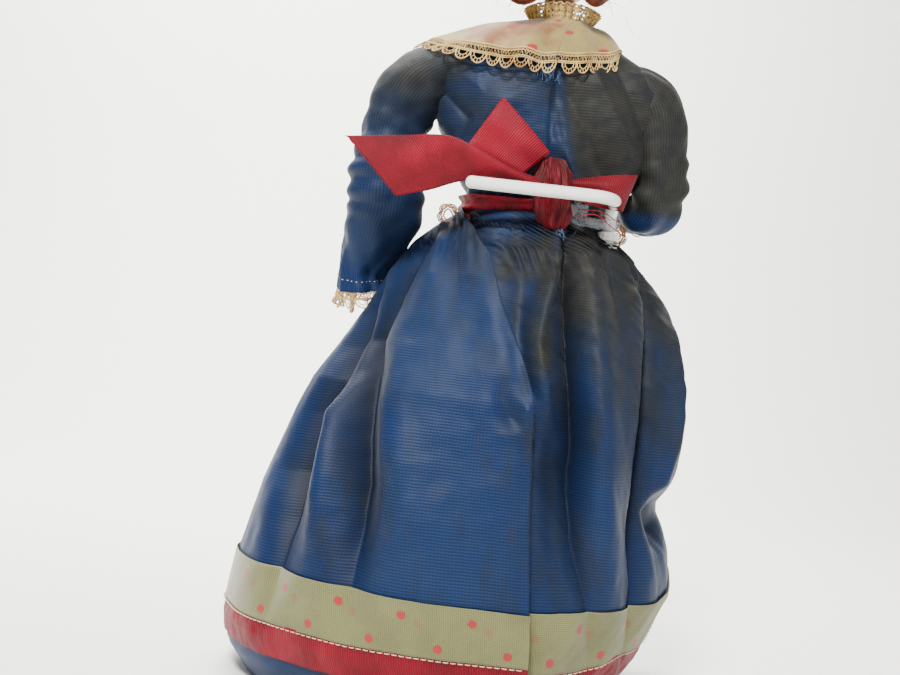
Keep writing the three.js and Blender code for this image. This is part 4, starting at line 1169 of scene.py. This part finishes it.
def build_loose_ends():
    """Red threads that hang from the lever, dark gathering threads at the waist, and frayed ends."""
    red = [spline([(-13, 25, 156), (-17.5, 26.5, 156.6), (-22.5, 25.5, 153.6), (-27, 23, 151.2)], 20),
           spline([(-12, 24, 158), (-19, 26, 157.8), (-25, 24.5, 155)], 16)]
    tubes("red_loose_threads", red, 0.16, THREAD_RED)
    dark = []
    for x in 17.5 - 1.35 * np.arange(11):
        dark.append(spline([(x, waist(x, 150.5, 0.6), 150.9), (x - 0.5, waist(x, 150.0, 0.9), 150.3),
                            (x - 1.0, waist(x, 149.6, 0.5), 149.7)], 5))
    tubes("gather_stitches", dark, 0.24, THREAD_DARK)
    rng = np.random.default_rng(5)
    blue = []
    for _ in range(16):
        x = rng.uniform(-12, -5)
        y = waist(x, 151.0, 0.6)
        blue.append(spline([(x, y, 151), (x + rng.uniform(-1, 1), y + rng.uniform(0.2, 1), 149.4),
                            (x + rng.uniform(-2, 2), y + rng.uniform(0.2, 1.2), rng.uniform(147, 149))], 7))
    tubes("frayed_waist", blue, 0.1, THREAD_BLUE, sides=4)


# ---- floor, light and camera ----
def sweep_floor():
    """A pale sweep: a floor that curves up into a wall behind the figure."""
    width, near, far, high, bend = 2600.0, 1800.0, -520.0, 2200.0, 320.0
    way = [(far - bend * math.sin(a), bend * (1 - math.cos(a))) for a in linspace(0, pi / 2, 24)]
    way = np.array([(near, 0.0), *way, (far - bend, high)])
    points = together(linspace(-width, width, 9)[None, :], way[:, :1], way[:, 1:])
    material = plain("pale_sweep", rgb(244, 244, 238), 0.9, 6, 0.0, 0.005)
    make("floor", points, quads(*points.shape[:2])[:, ::-1], material, body=None)


def area_light(name, place, target, size, watts, color=(1, 1, 1)):
    lamp = bpy.data.lights.new(name, "AREA")
    lamp.shape, lamp.size, lamp.energy, lamp.color = "DISK", size * MM, watts, color
    obj = bpy.data.objects.new(name, lamp)
    obj.location = spot(*place)
    obj.rotation_euler = (Vector(target) - Vector(place)).to_track_quat("-Z", "Y").to_euler()
    bpy.context.scene.collection.objects.link(obj)


def lights():
    world = bpy.data.worlds.new("soft_studio")
    world.use_nodes = True
    background = world.node_tree.nodes["Background"]
    background.inputs[0].default_value = (0.94, 0.96, 1.0, 1.0)
    background.inputs[1].default_value = 0.42
    bpy.context.scene.world = world
    area_light("key", (150, 560, 660), (0, 0, 130), 170, 13.5, (1.0, 0.985, 0.95))
    area_light("fill", (-620, 420, 300), (0, 0, 120), 400, 1.6, (0.95, 0.97, 1.0))
    area_light("top", (60, -160, 640), (0, 0, 120), 320, 3.0)
    area_light("backdrop", (260, -260, 760), (120, -820, 320), 500, 26.0)


def camera():
    """Behind the figure, a little to its left and tipped clockwise."""
    tip = math.radians(6.49)
    right, up = Vector((-math.cos(tip), 0, math.sin(tip))), Vector((math.sin(tip), 0, math.cos(tip)))
    data = bpy.data.cameras.new("camera")
    data.lens, data.sensor_width = 50.4, 36.0
    data.clip_start, data.clip_end = 0.01, 20.0
    obj = bpy.data.objects.new("camera", data)
    turn = Matrix((right, up, Vector((0, 1, 0)))).transposed().to_4x4()
    obj.matrix_world = Matrix.Translation(spot(23.6, 420, 113.4)) @ turn
    bpy.context.scene.collection.objects.link(obj)
    bpy.context.scene.camera = obj


build_skirt()
build_bodice()
build_sleeves()
build_collar()
build_neck_frill()
build_sash()
build_bow()
build_lever()
build_apron()
build_face()
build_hair()
finish_nodes()
build_loose_ends()
sweep_floor()
lights()
camera()
